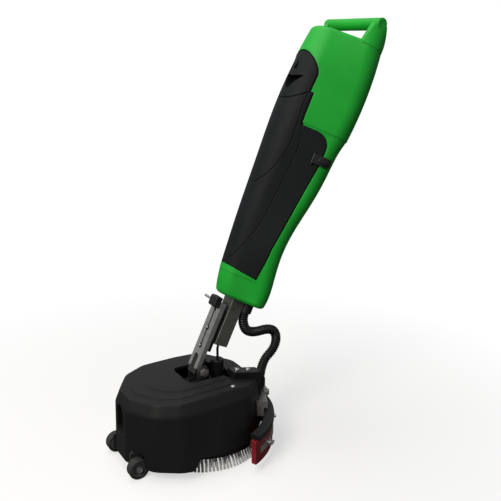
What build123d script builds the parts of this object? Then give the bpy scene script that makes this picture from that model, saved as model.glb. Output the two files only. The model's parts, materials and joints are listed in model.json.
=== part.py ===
from build123d import *
from functools import cache
import math
import os

# Compact upright floor scrubber-dryer with one disc brush, a leaning handle body and a raised squeegee.
# Millimetres, +Z up. The front is -Y, the machine's left is +X and the origin is under the brush axis.

# Clearances and walls
RUN_GAP = 0.05  # radial, shaft in bore
FACE_GAP = 0.4  # between pieces that move past each other
SEAM = 0.6  # between fixed mouldings
DECK_WALL = 4.0
BODY_WALL = 3.5

# Brush
BRISTLE_LENGTH = 34.0
BACKING_SLICE = 4.0
BLOCK_RADIUS = 130.0
BLOCK_HEIGHT = 14.0
BRISTLE_FLARE = 18.0  # outward lean of the outer tufts at the floor
TUFT_SIZE = 5.0
TUFT_RING_PITCH = 15.0
TUFT_RINGS = 6
TUFT_PITCH = 10.0
SPINDLE_RADIUS = 8.0
HUB_RADIUS = 30.0
HUB_HEIGHT = 7.0

# Deck
CHASSIS_LIFT = 8.0  # chassis above the brush back
CHASSIS_THICKNESS = 8.0
SPLASH_RADIUS = 145.0
SPLASH_WALL = 5.0
SPLASH_HEIGHT = 20.0
MOTOR_RADIUS = 62.0
MOTOR_HEIGHT = 84.0
COVER_BASE_Z = 14.0
SHOULDER_Z = 148.0
SHOULDER_ROUND = 20.0  # how far the rounded shoulder draws in
COVER_TOP_Z = 183.0
COVER_CROWN_RADIUS = 2200.0
COVER_CROWN_Y = -30.0
REAR_SLOPE_Y = 40.0
REAR_SLOPE_ANGLE = 13.0
SKIRT_FRONT_Z = 25.0
SKIRT_SIDE_Z = 50.0
SKIRT_RISE_Y = -86.0
NOSE_HALF_WIDTH = 30.0
NOSE_Y = -209.0
GRIP_POCKET_WIDTH = 36.0
GRIP_POCKET_HEIGHT = 72.0
GRIP_POCKET_DEPTH = 20.0
GRIP_POCKET_Z = 117.0
CORNER_RADII = (24.0, 60.0, 70.0, 90.0, 44.0, 32.0)  # deck outline from the nose to the rear
STEP_HEIGHT = 1.6
WELL_HALF_WIDTH = 47.0
WELL_FRONT_Y = -56.0
WELL_REAR_Y = 66.0
WELL_CORNER = 16.0
SCREW_HEAD_RADIUS = 5.0
COVER_SCREW_X = 101.0
COVER_SCREW_Y = 28.0
SCREW_HEAD_HEIGHT = 3.0
CAP_RADIUS = 16.0
CAP_Y = 42.0
CAP_HEIGHT = 60.0
CABLE_RADIUS = 3.0

# Front wheels
WHEEL_RADIUS = 24.0
WHEEL_WIDTH = 21.0
WHEEL_HALF_TRACK = 66.0
WHEEL_Y = -198.0
TYRE_THICKNESS = 7.0
AXLE_RADIUS = 4.0
AXLE_BRACKET_THICKNESS = 9.0
ARCH_GAP = 9.0
ARCH_REAR = 11.0  # open side of the arch behind the axle

# Mast and its pivot
LEAN = 26.0
PIVOT_Y = -8.0
PIVOT_Z = 194.0
PIVOT_PIN_RADIUS = 6.0
RAIL_HALF_WIDTH = 20.0
RAIL_THICKNESS = 3.0
RAIL_FLANGE = 12.0
RAIL_OFFSET = 20.0  # rail's front face ahead of the pivot
RAIL_TOP = 168.0
RAIL_FOOT = 2.0
KEYHOLE_RADIUS = 5.0
KEYHOLE_PITCH = 46.0
KEYHOLE_TOP = 147.0
SLOT_WIDTH = 5.0
PRONG_WIDTH = 11.0
PRONG_HEIGHT = 34.0
FOOT_HALF_WIDTH = 16.0
FOOT_TOP = 30.0
FOOT_DEPTH = 12.0
EAR_THICKNESS = 6.0
EAR_RADIUS = 15.0
BRACKET_BASE = 6.0

# Handle tube, slide and latch
TUBE_HALF_WIDTH = 20.0
TUBE_FRONT = 4.0
TUBE_DEPTH = 36.0
TUBE_WALL = 2.0
TUBE_FOOT = 70.0
SHOE_HALF_WIDTH = 14.0
SHOE_FOOT = 48.0
SHOE_TOP = 150.0
LATCH_HALF_WIDTH = 15.0
LATCH_DEPTH = 15.0
LATCH_HEIGHT = 26.0
LATCH_RISE = 11.0  # latch above the rail's top
LOCK_ROD_RADIUS = 3.0
LOCK_ROD_REACH = 50.0

# Handle body: height along the lean, front, rear, half width, nose radius, rear corner radius
BODY_SECTIONS = [
    (188.0, -33.0, 74.0, 72.0, 40.0, 28.0),
    (255.0, -47.0, 71.0, 76.0, 44.0, 30.0),
    (340.0, -54.0, 62.0, 80.0, 48.0, 32.0),
    (435.0, -60.0, 75.0, 86.0, 52.0, 34.0),
    (535.0, -65.0, 88.0, 93.0, 56.0, 36.0),
    (625.0, -69.0, 100.0, 99.0, 60.0, 40.0),
    (705.0, -68.0, 103.0, 102.0, 60.0, 40.0),
    (775.0, -63.0, 100.0, 103.0, 58.0, 40.0),
    (848.0, -53.0, 91.0, 103.0, 55.0, 40.0),
]
BODY_EDGE = 9.0  # rounding of the body's foot
HOOD_FOOT = 617.0
HOOD_LIP = 3.0
HOOD_EDGE = 12.0
TANK_FOOT_FRONT = 263.0
TANK_FOOT_REAR = 248.0
TANK_FLOOR = 243.0
TANK_REAR_LOW = 16.0
TANK_REAR_HIGH = 40.0
TANK_KNEE = 330.0
TANK_HIP = 547.0
TANK_SHOULDER_RADIUS = 32.0
TANK_PARTITION = 3.0
REBATE_WIDTH = 3.0  # step round the rims of tank and cap, which leaves a shadow line
REBATE_DEPTH = 2.4
HOOD_REVEAL = 5.0  # height of the set-back rim at the hood's foot
HOOD_REVEAL_DEPTH = 2.0
BULKHEAD_HEIGHT = 23.0
NECK_HALF_WIDTH = 57.0
NECK_TOP = 692.0
NECK_REAR = -22.0
DOME_HEIGHT = 728.0
DOME_RADIUS = 53.0
DOME_FOOT_HEIGHT = 720.0
DOME_FOOT_RADIUS = 60.0
GROOVE_WIDTH = 1.8
GROOVE_DEPTH = 1.8
GROOVE_LINES = [  # across and up, square to the view of the tank's left front
    [(-2, 684), (2, 607), (3, 568), (-5, 524), (-41, 457)],
    [(20, 598), (23, 553), (18, 477), (10, 393), (-5, 328), (-30, 275)],
]
BATTERY_SIZE = (92.0, 22.0, 140.0)
VACUUM_RADIUS = 44.0
VACUUM_HEIGHT = 86.0
SHELF_THICKNESS = 5.0
PANEL_SIZE = (78.0, 5.0, 46.0)
PANEL_HEIGHT = 788.0
BUTTON_RADIUS = 9.0
BUTTON_SPACING = 34.0
BUTTON_TRAVEL = 2.5

# Buckles that hold the tank
BUCKLE_HEIGHT = 557.0
BUCKLE_FORWARD = 17.0
BUCKLE_LENGTH = 42.0
BUCKLE_WIDTH = 22.0
BUCKLE_THICKNESS = 5.0
BUCKLE_PIN_RADIUS = 1.4

# Grip
GRIP_HEIGHT = 894.0
GRIP_SET_BACK = 44.0
GRIP_RADIUS = 14.0
GRIP_ARM_WIDTH = 25.0
GRIP_ARM_FRONT = 18.0

# Squeegee
SQUEEGEE_CENTRE_Y = -40.0
SQUEEGEE_RADIUS = 204.0
SQUEEGEE_HALF_SPAN = 68.0
SQUEEGEE_RAISE = 21.0
BLADE_HEIGHT = 58.0
BLADE_THICKNESS = 3.6
BLADE_SPACING = 9.0
STRAP_THICKNESS = 2.0
STRAP_HEIGHT = 16.0
STRAP_LIFT = 22.0
SQUEEGEE_BODY_HEIGHT = 14.0
SQUEEGEE_CORE_DEPTH = 26.0
KNOB_RADIUS = 8.0
KNOB_ANGLES = (-52.0, -18.0, 18.0, 52.0)
POST_RADIUS = 5.0
POST_HALF_SPACING = 40.0
HANGER_Z = 101.0
HANGER_HEIGHT = 10.0
HANGER_HALF_SPAN = 33.0
HANGER_INNER = 166.0
HANGER_OUTER = 192.0
CHEEK_THICKNESS = 4.0
CHEEK_DROP = 22.0
CHEEK_RISE = 7.0
SQUEEGEE_DROP = 14.0
LIFT_ARM_X = 42.0
LIFT_ARM_WIDTH = 32.0
LIFT_ARM_THICKNESS = 15.0
LIFT_ARM_FRONT = 54.0
LIFT_ARM_REAR = 130.0

# Suction hose, as its centre line in the plane of the hose
HOSE_X = 12.0
HOSE_RADIUS = 12.0
HOSE_GROOVE = 1.8
HOSE_FIT = 0.4  # radial, hose end in cuff and pipe
HOSE_BORE_RADIUS = 8.5
HOSE_RIB_PITCH = 7.0
CUFF_RADIUS = 14.6
CUFF_SET_BACK = 55.4
CUFF_LENGTH = 25.0
PIPE_RADIUS = 14.6
PIPE_Y = 155.0
PIPE_TOP = 132.0

# Heights that follow from the sizes above
HUB_Z = BRISTLE_LENGTH + BLOCK_HEIGHT
CHASSIS_Z = HUB_Z + CHASSIS_LIFT
MOTOR_Z = CHASSIS_Z + CHASSIS_THICKNESS
BRACKET_Z = MOTOR_Z + MOTOR_HEIGHT
BODY_FOOT = BODY_SECTIONS[0][0]
BODY_TOP = BODY_SECTIONS[-1][0]
TUBE_TOP = TANK_FLOOR - TANK_PARTITION - 2 * SEAM
SQUEEGEE_TOP = SQUEEGEE_RAISE + BLADE_HEIGHT + SQUEEGEE_BODY_HEIGHT
BLADE_MIDDLE = SQUEEGEE_RADIUS - BLADE_SPACING / 2 - BLADE_THICKNESS / 2

UP = (Align.CENTER, Align.CENTER, Align.MIN)


def lean(shape):
    """Carry a shape from the mast's own upright frame, with its origin on the pivot, to the machine."""
    return Pos(0, PIVOT_Y, PIVOT_Z) * Rot(-LEAN, 0, 0) * shape


def lean_point(x, y, z):
    """Carry a point from the mast's own upright frame to the machine."""
    turned = Vector(x, y, z).rotate(Axis.X, -LEAN)
    return turned + Vector(0, PIVOT_Y, PIVOT_Z)


def block(x0, x1, y0, y1, z0, z1):
    """Box between two corners."""
    middle = Pos((x0 + x1) / 2, (y0 + y1) / 2, (z0 + z1) / 2)
    return middle * Box(x1 - x0, y1 - y0, z1 - z0)


def rod(radius, start, end):
    """Round bar between two points."""
    axis = Vector(*end) - Vector(*start)
    return Plane(origin=start, z_dir=axis) * Cylinder(radius, axis.length, align=UP)


def ring(outer, inner, z0, z1):
    """Flat ring about the brush axis."""
    return Pos(0, 0, z0) * (Cylinder(outer, z1 - z0, align=UP) - Cylinder(inner, z1 - z0, align=UP))


def both_sides(shape):
    """A piece and its mirror image on the machine's other side, as separate solids."""
    return Compound([*shape.solids(), *mirror(shape, about=Plane.YZ).solids()])


def side_prism(points, half_width):
    """Prism along X from an outline given in (y, z)."""
    face = make_face(Polyline(*[(0, y, z) for y, z in points], close=True))
    return extrude(face, half_width, dir=(1, 0, 0), both=True)


# Brush


def tuft(radius, angle, flare):
    """One square tuft from inside the backing slice to the floor, leaning outwards."""
    half = TUFT_SIZE / 2
    top_z = BRISTLE_LENGTH + BACKING_SLICE / 2
    corners = [(-half, -half), (half, -half), (half, half), (-half, half)]
    top = [(radius + x * 0.8, y * 0.8, top_z) for x, y in corners]
    foot = [(radius + flare + x, y, 0.0) for x, y in corners]
    wires = [Wire.make_polygon(points, close=True) for points in (top, foot)]
    return Rot(0, 0, angle) * Solid.make_loft(wires, ruled=True)


def bristles():
    """Rings of tufts, the outer ones flared, fused to the slice of backing that holds them."""
    backing = ring(BLOCK_RADIUS, HUB_RADIUS, BRISTLE_LENGTH, BRISTLE_LENGTH + BACKING_SLICE)
    tufts = []
    for index in range(TUFT_RINGS):
        radius = BLOCK_RADIUS - TUFT_SIZE - index * TUFT_RING_PITCH
        count = int(2 * math.pi * radius / TUFT_PITCH)
        flare = BRISTLE_FLARE * (1 - index / TUFT_RINGS)
        for step in range(count):
            tufts.append(tuft(radius, (step + 0.5 * (index % 2)) * 360 / count, flare))
    return backing.fuse(*tufts)


def brush_block():
    """Moulded brush back with a raised rim and eight stiffening ribs."""
    low = BRISTLE_LENGTH + BACKING_SLICE
    back = ring(BLOCK_RADIUS, SPINDLE_RADIUS + RUN_GAP, low, HUB_Z)
    trough = ring(BLOCK_RADIUS - 8, HUB_RADIUS + 6, HUB_Z - 5, HUB_Z)
    ribs = [Rot(0, 0, 45 * k) * block(HUB_RADIUS, BLOCK_RADIUS - 4, -2, 2, low, HUB_Z) for k in range(8)]
    return (back - trough).fuse(*ribs)


def drive_hub():
    """Drive plate with three dogs between the motor spindle and the brush back."""
    plate = ring(HUB_RADIUS, SPINDLE_RADIUS + RUN_GAP, HUB_Z, HUB_Z + HUB_HEIGHT)
    slot = block(HUB_RADIUS - 8, HUB_RADIUS + 1, -4, 4, HUB_Z + 3, HUB_Z + HUB_HEIGHT)
    for k in range(3):
        plate -= Rot(0, 0, 120 * k) * slot
    return plate


# Deck


def corner_inset(points, inset):
    """Closed anticlockwise outline moved inwards by an inset, corner by corner."""
    moved = []
    for index, here in enumerate(points):
        before = (here - points[index - 1]).normalized()
        after = (points[(index + 1) % len(points)] - here).normalized()
        inward = Vector(-before.Y - after.Y, before.X + after.X).normalized()
        half_turn = math.radians(before.get_angle(after)) / 2
        moved.append(here + inward * (inset / math.cos(half_turn)))
    return moved


def deck_outline(z, inset):
    """Plan outline of the deck at a height, anticlockwise, with the draft of its walls."""
    spread = (SHOULDER_Z - z) / (SHOULDER_Z - COVER_BASE_Z)
    half = [
        (NOSE_HALF_WIDTH, NOSE_Y - 4 * spread),
        (97.0 + 6 * spread, -168.0 - 10 * spread),
        (127.0 + 15 * spread, -108.0 - 14 * spread),
        (128.0 + 32 * spread, -20.0 - 14 * spread),
        (121.0 + 27 * spread, 62.0 - 16 * spread),
        (60.0 + 14 * spread, 122.0 + 6 * spread),
    ]
    other = [(-x, y) for x, y in reversed(half)]
    return corner_inset([Vector(x, y) for x, y in half + other], inset)


def rounded_wire(points, radii, z):
    """Closed outline at a height with an arc of its own radius at each corner."""
    lift = Vector(0, 0, z)
    starts, arcs, ends = [], [], []
    for index, here in enumerate(points):
        before = (here - points[index - 1]).normalized()
        after = (points[(index + 1) % len(points)] - here).normalized()
        half_turn = math.radians(before.get_angle(after)) / 2
        radius = radii[index]
        inward = (after - before).normalized()
        middle = here + inward * (radius / math.cos(half_turn) - radius)
        starts.append(here - before * (radius * math.tan(half_turn)) + lift)
        ends.append(here + after * (radius * math.tan(half_turn)) + lift)
        arcs.append(middle + lift)
    edges = []
    for index, start in enumerate(starts):
        edges.append(Edge.make_line(ends[index - 1], start))
        edges.append(Edge.make_three_point_arc(start, arcs[index], ends[index]))
    return Wire(edges)


def deck_wire(z, inset):
    """The deck's outline as a wire whose corners tighten as it draws in."""
    tighten = 1 - 0.6 * inset / (SHOULDER_ROUND + DECK_WALL)
    half = [radius * tighten for radius in CORNER_RADII]
    return rounded_wire(deck_outline(min(z, SHOULDER_Z), inset), half + half[::-1], z)


@cache
def deck_form(inset, drop):
    """The cover's outer form, or the hollow inside it when given an inset and a drop."""
    base = COVER_BASE_Z - 2 * drop
    walls = Solid.make_loft([deck_wire(base, inset), deck_wire(SHOULDER_Z, inset)], ruled=True)
    rise = COVER_TOP_Z - drop - SHOULDER_Z
    rounded = []
    for angle in (0, 25, 50, 72, 90):
        turn = math.radians(angle)
        drawn_in = inset + SHOULDER_ROUND * angle / 90
        rounded.append(deck_wire(SHOULDER_Z + rise * math.sin(turn), drawn_in))
    form = walls + Solid.make_loft(rounded)
    crown = Pos(0, COVER_CROWN_Y, COVER_TOP_Z - drop - COVER_CROWN_RADIUS) * Sphere(COVER_CROWN_RADIUS)
    return (form & crown) - rear_slope(-drop)


def rear_slope(lift):
    """Everything above the sloping rear of the cover's top."""
    place = Pos(0, REAR_SLOPE_Y, COVER_TOP_Z - 4 + lift) * Rot(-REAR_SLOPE_ANGLE, 0, 0)
    return place * block(-300, 300, 0, 300, 0, 100)


def slope_z(y):
    """Height of the cover's sloping rear at a distance behind the brush axis."""
    return COVER_TOP_Z - 4 - (y - REAR_SLOPE_Y) * math.tan(math.radians(REAR_SLOPE_ANGLE))


def top_step(points, rise):
    """Raised field on the crowned top, following the outline of the deck."""
    mirrored = [(-x, y) for x, y in reversed(points)]
    field = extrude(make_face(Polyline(*(points + mirrored), close=True)), COVER_TOP_Z + 20)
    crown = Pos(0, COVER_CROWN_Y, COVER_TOP_Z + rise - COVER_CROWN_RADIUS) * Sphere(COVER_CROWN_RADIUS)
    return (field & crown) & block(-300, 300, -300, REAR_SLOPE_Y - 6, COVER_TOP_Z - 12, COVER_TOP_Z + 20)


def deck_cover():
    """Moulded cover: crowned stepped top, rounded shoulder, wheel arches, mast well and raised skirt."""
    cover = deck_form(0, 0)
    cover += top_step([(16, -174), (70, -140), (92, -98), (94, -20), (88, 34)], STEP_HEIGHT)
    cover += top_step([(10, -140), (50, -114), (66, -84), (68, -20), (64, 34)], 2 * STEP_HEIGHT)
    cover -= deck_form(DECK_WALL, DECK_WALL)
    pocket_z0 = GRIP_POCKET_Z - GRIP_POCKET_HEIGHT / 2
    pocket_z1 = GRIP_POCKET_Z + GRIP_POCKET_HEIGHT / 2
    backing = block(
        -GRIP_POCKET_WIDTH / 2 - DECK_WALL, GRIP_POCKET_WIDTH / 2 + DECK_WALL,
        NOSE_Y - 10, NOSE_Y + GRIP_POCKET_DEPTH + DECK_WALL, pocket_z0 - DECK_WALL, pocket_z1 + DECK_WALL,
    )
    cover += backing & deck_form(DECK_WALL / 2, DECK_WALL / 2)
    slot = SlotOverall(GRIP_POCKET_HEIGHT, GRIP_POCKET_WIDTH, rotation=90)
    pocket_plane = Plane(origin=(0, NOSE_Y - 20, GRIP_POCKET_Z), x_dir=(1, 0, 0), z_dir=(0, 1, 0))
    cover -= extrude(pocket_plane * slot, 20 + GRIP_POCKET_DEPTH)
    well = RectangleRounded(2 * WELL_HALF_WIDTH, WELL_REAR_Y - WELL_FRONT_Y, WELL_CORNER)
    cover -= Pos(0, (WELL_REAR_Y + WELL_FRONT_Y) / 2, SHOULDER_Z) * extrude(well, COVER_TOP_Z)
    raised = [(-400, -60), (-400, SKIRT_FRONT_Z), (SKIRT_RISE_Y - 9, SKIRT_FRONT_Z)]
    raised += [(SKIRT_RISE_Y + 6, SKIRT_SIDE_Z), (400, SKIRT_SIDE_Z), (400, -60)]
    cover -= side_prism(raised, 300)
    inner_x = WHEEL_HALF_TRACK - WHEEL_WIDTH / 2 - AXLE_BRACKET_THICKNESS - 6
    outer_x = WHEEL_HALF_TRACK + WHEEL_WIDTH / 2 + 4 * FACE_GAP
    arch = rod(WHEEL_RADIUS + ARCH_GAP, (inner_x, WHEEL_Y, WHEEL_RADIUS), (140, WHEEL_Y, WHEEL_RADIUS))
    arch -= block(outer_x, 150, WHEEL_Y + ARCH_REAR, 0, -20, COVER_TOP_Z)
    cover -= arch
    cover -= mirror(arch, about=Plane.YZ)
    half_slot = AXLE_RADIUS + 1
    cover -= block(-inner_x - 1, inner_x + 1, WHEEL_Y - half_slot, WHEEL_Y + half_slot, 0, WHEEL_RADIUS)
    return cover - rod(half_slot, (-inner_x - 1, WHEEL_Y, WHEEL_RADIUS), (inner_x + 1, WHEEL_Y, WHEEL_RADIUS))


def chassis_plate():
    """Steel base plate that fills the cover's plan and carries the motor and the axle brackets."""
    wire = deck_wire(CHASSIS_Z, DECK_WALL + SEAM)
    plate = extrude(Face(wire), CHASSIS_THICKNESS)
    plate &= deck_form(DECK_WALL + SEAM, DECK_WALL)
    reach = GRIP_POCKET_WIDTH / 2 + DECK_WALL + SEAM
    plate -= block(-reach, reach, 2 * NOSE_Y, NOSE_Y + GRIP_POCKET_DEPTH + DECK_WALL + SEAM, 0, COVER_TOP_Z)
    return plate - Pos(0, 0, CHASSIS_Z) * Cylinder(HUB_RADIUS + 6, 60)


def splash_ring():
    """Ring skirt under the chassis that keeps water in round the brush."""
    full = ring(SPLASH_RADIUS, SPLASH_RADIUS - SPLASH_WALL, CHASSIS_Z - SPLASH_HEIGHT, CHASSIS_Z)
    return full & deck_form(DECK_WALL + SEAM, DECK_WALL)


def brush_motor():
    """Gearmotor on its flange, with the spindle that reaches down into the brush."""
    flange = Pos(0, 0, MOTOR_Z) * Cylinder(MOTOR_RADIUS + 12, 10, align=UP)
    can = Pos(0, 0, MOTOR_Z) * Cylinder(MOTOR_RADIUS, MOTOR_HEIGHT, align=UP)
    can = chamfer(can.edges().group_by(Axis.Z)[-1], 4)
    return flange + can + rod(SPINDLE_RADIUS, (0, 0, BRISTLE_LENGTH + BACKING_SLICE), (0, 0, MOTOR_Z))


def terminal_cap():
    """Round black cap over the motor's terminals, behind the mast."""
    cap = Pos(0, CAP_Y, BRACKET_Z) * Cylinder(CAP_RADIUS, CAP_HEIGHT, align=UP)
    cap = fillet(cap.edges().group_by(Axis.Z)[-1], 4)
    collar = Pos(0, CAP_Y, BRACKET_Z) * Cylinder(CAP_RADIUS + 4, 10, align=UP)
    return cap + collar


def pivot_bracket():
    """Plated steel bracket with two ears for the mast's pivot bolt."""
    inner = RAIL_HALF_WIDTH + FACE_GAP + 0.2
    base = block(-inner - EAR_THICKNESS, inner + EAR_THICKNESS, -40, CAP_Y - CAP_RADIUS - 5,
                 BRACKET_Z, BRACKET_Z + BRACKET_BASE)
    bracket = base
    for side in (-1, 1):
        near = side * inner
        far = side * (inner + EAR_THICKNESS)
        ear = rod(EAR_RADIUS, (near, PIVOT_Y, PIVOT_Z), (far, PIVOT_Y, PIVOT_Z))
        web = block(min(near, far), max(near, far), PIVOT_Y - EAR_RADIUS, PIVOT_Y + EAR_RADIUS, BRACKET_Z, PIVOT_Z)
        bracket += ear + web
    return bracket - rod(PIVOT_PIN_RADIUS + RUN_GAP, (-60, PIVOT_Y, PIVOT_Z), (60, PIVOT_Y, PIVOT_Z))


def pivot_bolt():
    """Hexagon bolt through the bracket and the mast foot, with its nut."""
    reach = RAIL_HALF_WIDTH + FACE_GAP + 0.2 + EAR_THICKNESS + RUN_GAP
    shank = rod(PIVOT_PIN_RADIUS, (-reach - 8, PIVOT_Y, PIVOT_Z), (reach + 7, PIVOT_Y, PIVOT_Z))
    head = extrude(RegularPolygon(PIVOT_PIN_RADIUS * 1.75, 6), 7)
    plane = Plane(origin=(reach, PIVOT_Y, PIVOT_Z), z_dir=(1, 0, 0))
    other = Plane(origin=(-reach, PIVOT_Y, PIVOT_Z), z_dir=(-1, 0, 0))
    return shank + plane * head + other * head


def axle():
    """Steel rod through both front wheels and their brackets."""
    reach = WHEEL_HALF_TRACK + WHEEL_WIDTH / 2 + 1
    bar = rod(AXLE_RADIUS, (-reach, WHEEL_Y, WHEEL_RADIUS), (reach, WHEEL_Y, WHEEL_RADIUS))
    clip = rod(AXLE_RADIUS + 2, (reach, WHEEL_Y, WHEEL_RADIUS), (reach + 2, WHEEL_Y, WHEEL_RADIUS))
    return bar + clip + mirror(clip, about=Plane.YZ)


def axle_brackets():
    """Two arms under the chassis that hold the axle just inside the wheels."""
    outer = WHEEL_HALF_TRACK - WHEEL_WIDTH / 2 - FACE_GAP
    y = WHEEL_Y
    outline = [(y - 12, 12), (y + 11, 12), (y + 60, CHASSIS_Z - 10), (y + 60, CHASSIS_Z), (y + 44, CHASSIS_Z), (y + 24, 46)]
    arm = side_prism(outline, AXLE_BRACKET_THICKNESS / 2)
    arm = Pos(outer - AXLE_BRACKET_THICKNESS / 2, 0, 0) * arm
    inner = outer - AXLE_BRACKET_THICKNESS
    cheek = rod(WHEEL_RADIUS + ARCH_GAP - SEAM, (inner, y, WHEEL_RADIUS), (outer, y, WHEEL_RADIUS))
    arm += cheek & block(inner, outer, y - 12, y + 30, 12, CHASSIS_Z)
    arm -= rod(AXLE_RADIUS + RUN_GAP, (0, y, WHEEL_RADIUS), (100, y, WHEEL_RADIUS))
    return both_sides(arm)


def wheel_tyre():
    """Grey rubber tyre with rounded shoulders, on the machine's left."""
    inner = WHEEL_HALF_TRACK - WHEEL_WIDTH / 2
    outer = WHEEL_HALF_TRACK + WHEEL_WIDTH / 2
    tyre = rod(WHEEL_RADIUS, (inner, WHEEL_Y, WHEEL_RADIUS), (outer, WHEEL_Y, WHEEL_RADIUS))
    tyre = fillet(tyre.edges().filter_by(GeomType.CIRCLE), 3)
    rim = WHEEL_RADIUS - TYRE_THICKNESS
    return tyre - rod(rim, (inner - 1, WHEEL_Y, WHEEL_RADIUS), (outer + 1, WHEEL_Y, WHEEL_RADIUS))


def wheel_hub():
    """Wheel hub with a dished outer face and a raised centre, on the machine's left."""
    inner = WHEEL_HALF_TRACK - WHEEL_WIDTH / 2
    outer = WHEEL_HALF_TRACK + WHEEL_WIDTH / 2
    rim = WHEEL_RADIUS - TYRE_THICKNESS
    hub = rod(rim - RUN_GAP, (inner, WHEEL_Y, WHEEL_RADIUS), (outer - 1, WHEEL_Y, WHEEL_RADIUS))
    dish = rod(rim - 3, (outer - 5, WHEEL_Y, WHEEL_RADIUS), (outer, WHEEL_Y, WHEEL_RADIUS))
    boss = rod(AXLE_RADIUS + 4, (outer - 6, WHEEL_Y, WHEEL_RADIUS), (outer - 0.4, WHEEL_Y, WHEEL_RADIUS))
    bore = rod(AXLE_RADIUS + RUN_GAP, (inner - 1, WHEEL_Y, WHEEL_RADIUS), (outer + 1, WHEEL_Y, WHEEL_RADIUS))
    return hub - dish + boss - bore


def right_tyre():
    """Tyre on the machine's right."""
    return mirror(wheel_tyre(), about=Plane.YZ)


def right_hub():
    """Hub on the machine's right."""
    return mirror(wheel_hub(), about=Plane.YZ)


def cover_screws():
    """Pan heads that hold the cover down on each side of the mast, seated on the crowned top."""
    x, y = COVER_SCREW_X, COVER_SCREW_Y
    fall = COVER_CROWN_RADIUS - math.sqrt(COVER_CROWN_RADIUS ** 2 - x ** 2 - (y - COVER_CROWN_Y) ** 2)
    low = COVER_TOP_Z - fall - SCREW_HEAD_HEIGHT
    head = rod(SCREW_HEAD_RADIUS, (x, y, low), (x, y, low + 2 * SCREW_HEAD_HEIGHT))
    head = fillet(head.edges().group_by(Axis.Z)[-1], 1)
    return both_sides(head - deck_form(0, 0))


def motor_cable():
    """Short lead from the handle tube's open foot down into the terminal cap."""
    top = lean_point(6, TUBE_FRONT + TUBE_DEPTH / 2, TUBE_FOOT + 10)
    foot_z = BRACKET_Z + CAP_HEIGHT
    route = [
        (top.X, top.Y, top.Z),
        (top.X + 1, top.Y - 7, top.Z - 14),
        (top.X - 3, CAP_Y, foot_z + 16),
        (top.X - 3, CAP_Y, foot_z),
    ]
    return swept_tube(route, CABLE_RADIUS)


# Cords


def corner_radii(points):
    """Largest arcs that the runs of a route allow at its corners."""
    radii = []
    for before, here, after in zip(points, points[1:], points[2:]):
        run_in = here - before
        run_out = after - here
        half_turn = math.radians(run_in.get_angle(run_out)) / 2
        radii.append(0.45 * min(run_in.length, run_out.length) / math.tan(half_turn))
    return radii


def route_line(route):
    """Straight runs joined by tangent arcs through a route's corners."""
    points = [Vector(*point) for point in route]
    radii = corner_radii(points)
    print("cord radii", [round(radius, 1) for radius in radii])
    return FilletPolyline(*points, radius=radii)


def swept_tube(route, radius):
    """Round tube along a route."""
    line = route_line(route)
    section = Plane(origin=line @ 0, z_dir=line % 0) * Circle(radius)
    return sweep(section, path=line)


# Mast


def mast_rail():
    """Perforated steel channel with keyholes joined by slots, forked at its foot."""
    front = -RAIL_OFFSET
    back = front + RAIL_FLANGE
    rail = block(-RAIL_HALF_WIDTH, RAIL_HALF_WIDTH, front, back, RAIL_FOOT, RAIL_TOP)
    inside = RAIL_HALF_WIDTH - RAIL_THICKNESS
    rail -= block(-inside, inside, front + RAIL_THICKNESS, back + 1, RAIL_FOOT - 1, RAIL_TOP + 1)
    notch = RAIL_HALF_WIDTH - PRONG_WIDTH
    rail -= block(-notch, notch, front - 1, back, RAIL_FOOT - 1, RAIL_FOOT + PRONG_HEIGHT - notch)
    rail -= rod(notch, (0, front - 1, RAIL_FOOT + PRONG_HEIGHT - notch), (0, back, RAIL_FOOT + PRONG_HEIGHT - notch))
    low = KEYHOLE_TOP - 2 * KEYHOLE_PITCH
    rail -= block(-SLOT_WIDTH / 2, SLOT_WIDTH / 2, front - 1, back, low, KEYHOLE_TOP)
    for step in range(3):
        height = KEYHOLE_TOP - step * KEYHOLE_PITCH
        rail -= rod(KEYHOLE_RADIUS, (0, front - 1, height), (0, back, height))
    return lean(rail)


def mast_foot():
    """Plated block behind the rail's fork, bored for the pivot bolt."""
    front = -RAIL_OFFSET + RAIL_THICKNESS
    foot = block(-FOOT_HALF_WIDTH, FOOT_HALF_WIDTH, front, 0, -FOOT_DEPTH, FOOT_TOP)
    foot += rod(FOOT_DEPTH, (-FOOT_HALF_WIDTH, 0, 0), (FOOT_HALF_WIDTH, 0, 0))
    foot -= rod(PIVOT_PIN_RADIUS + RUN_GAP, (-60, 0, 0), (60, 0, 0))
    return lean(foot)


def latch_block():
    """Black latch housing on the front of the rail's top."""
    front = -RAIL_OFFSET
    high = RAIL_TOP + LATCH_RISE
    housing = block(-LATCH_HALF_WIDTH, LATCH_HALF_WIDTH, front - LATCH_DEPTH, front, high - LATCH_HEIGHT, high)
    housing = chamfer(housing.edges().filter_by(Axis.X).group_by(Axis.Y)[0], 3)
    bore = rod(LOCK_ROD_RADIUS + RUN_GAP, lock_rod_end(-LATCH_HALF_WIDTH - 1), lock_rod_end(LATCH_HALF_WIDTH - 4))
    return lean(housing - bore)


def lock_rod_end(x):
    """Point on the lock rod's axis, in the mast's own frame."""
    return (x, -RAIL_OFFSET - LATCH_DEPTH / 2, RAIL_TOP + LATCH_RISE - LATCH_HEIGHT / 2)


def lock_rod():
    """Steel pull rod that stands out of the latch on the machine's right, with a clip groove near the latch."""
    bar = rod(LOCK_ROD_RADIUS, lock_rod_end(-LOCK_ROD_REACH), lock_rod_end(LATCH_HALF_WIDTH - 6))
    bar = chamfer(bar.edges().group_by(Axis.X)[0], 1)
    ends = lock_rod_end(-LATCH_HALF_WIDTH - 4), lock_rod_end(-LATCH_HALF_WIDTH - 1)
    groove = rod(LOCK_ROD_RADIUS + 1, *ends) - rod(LOCK_ROD_RADIUS - 0.6, *ends)
    return lean(bar - groove)


# Handle


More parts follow.
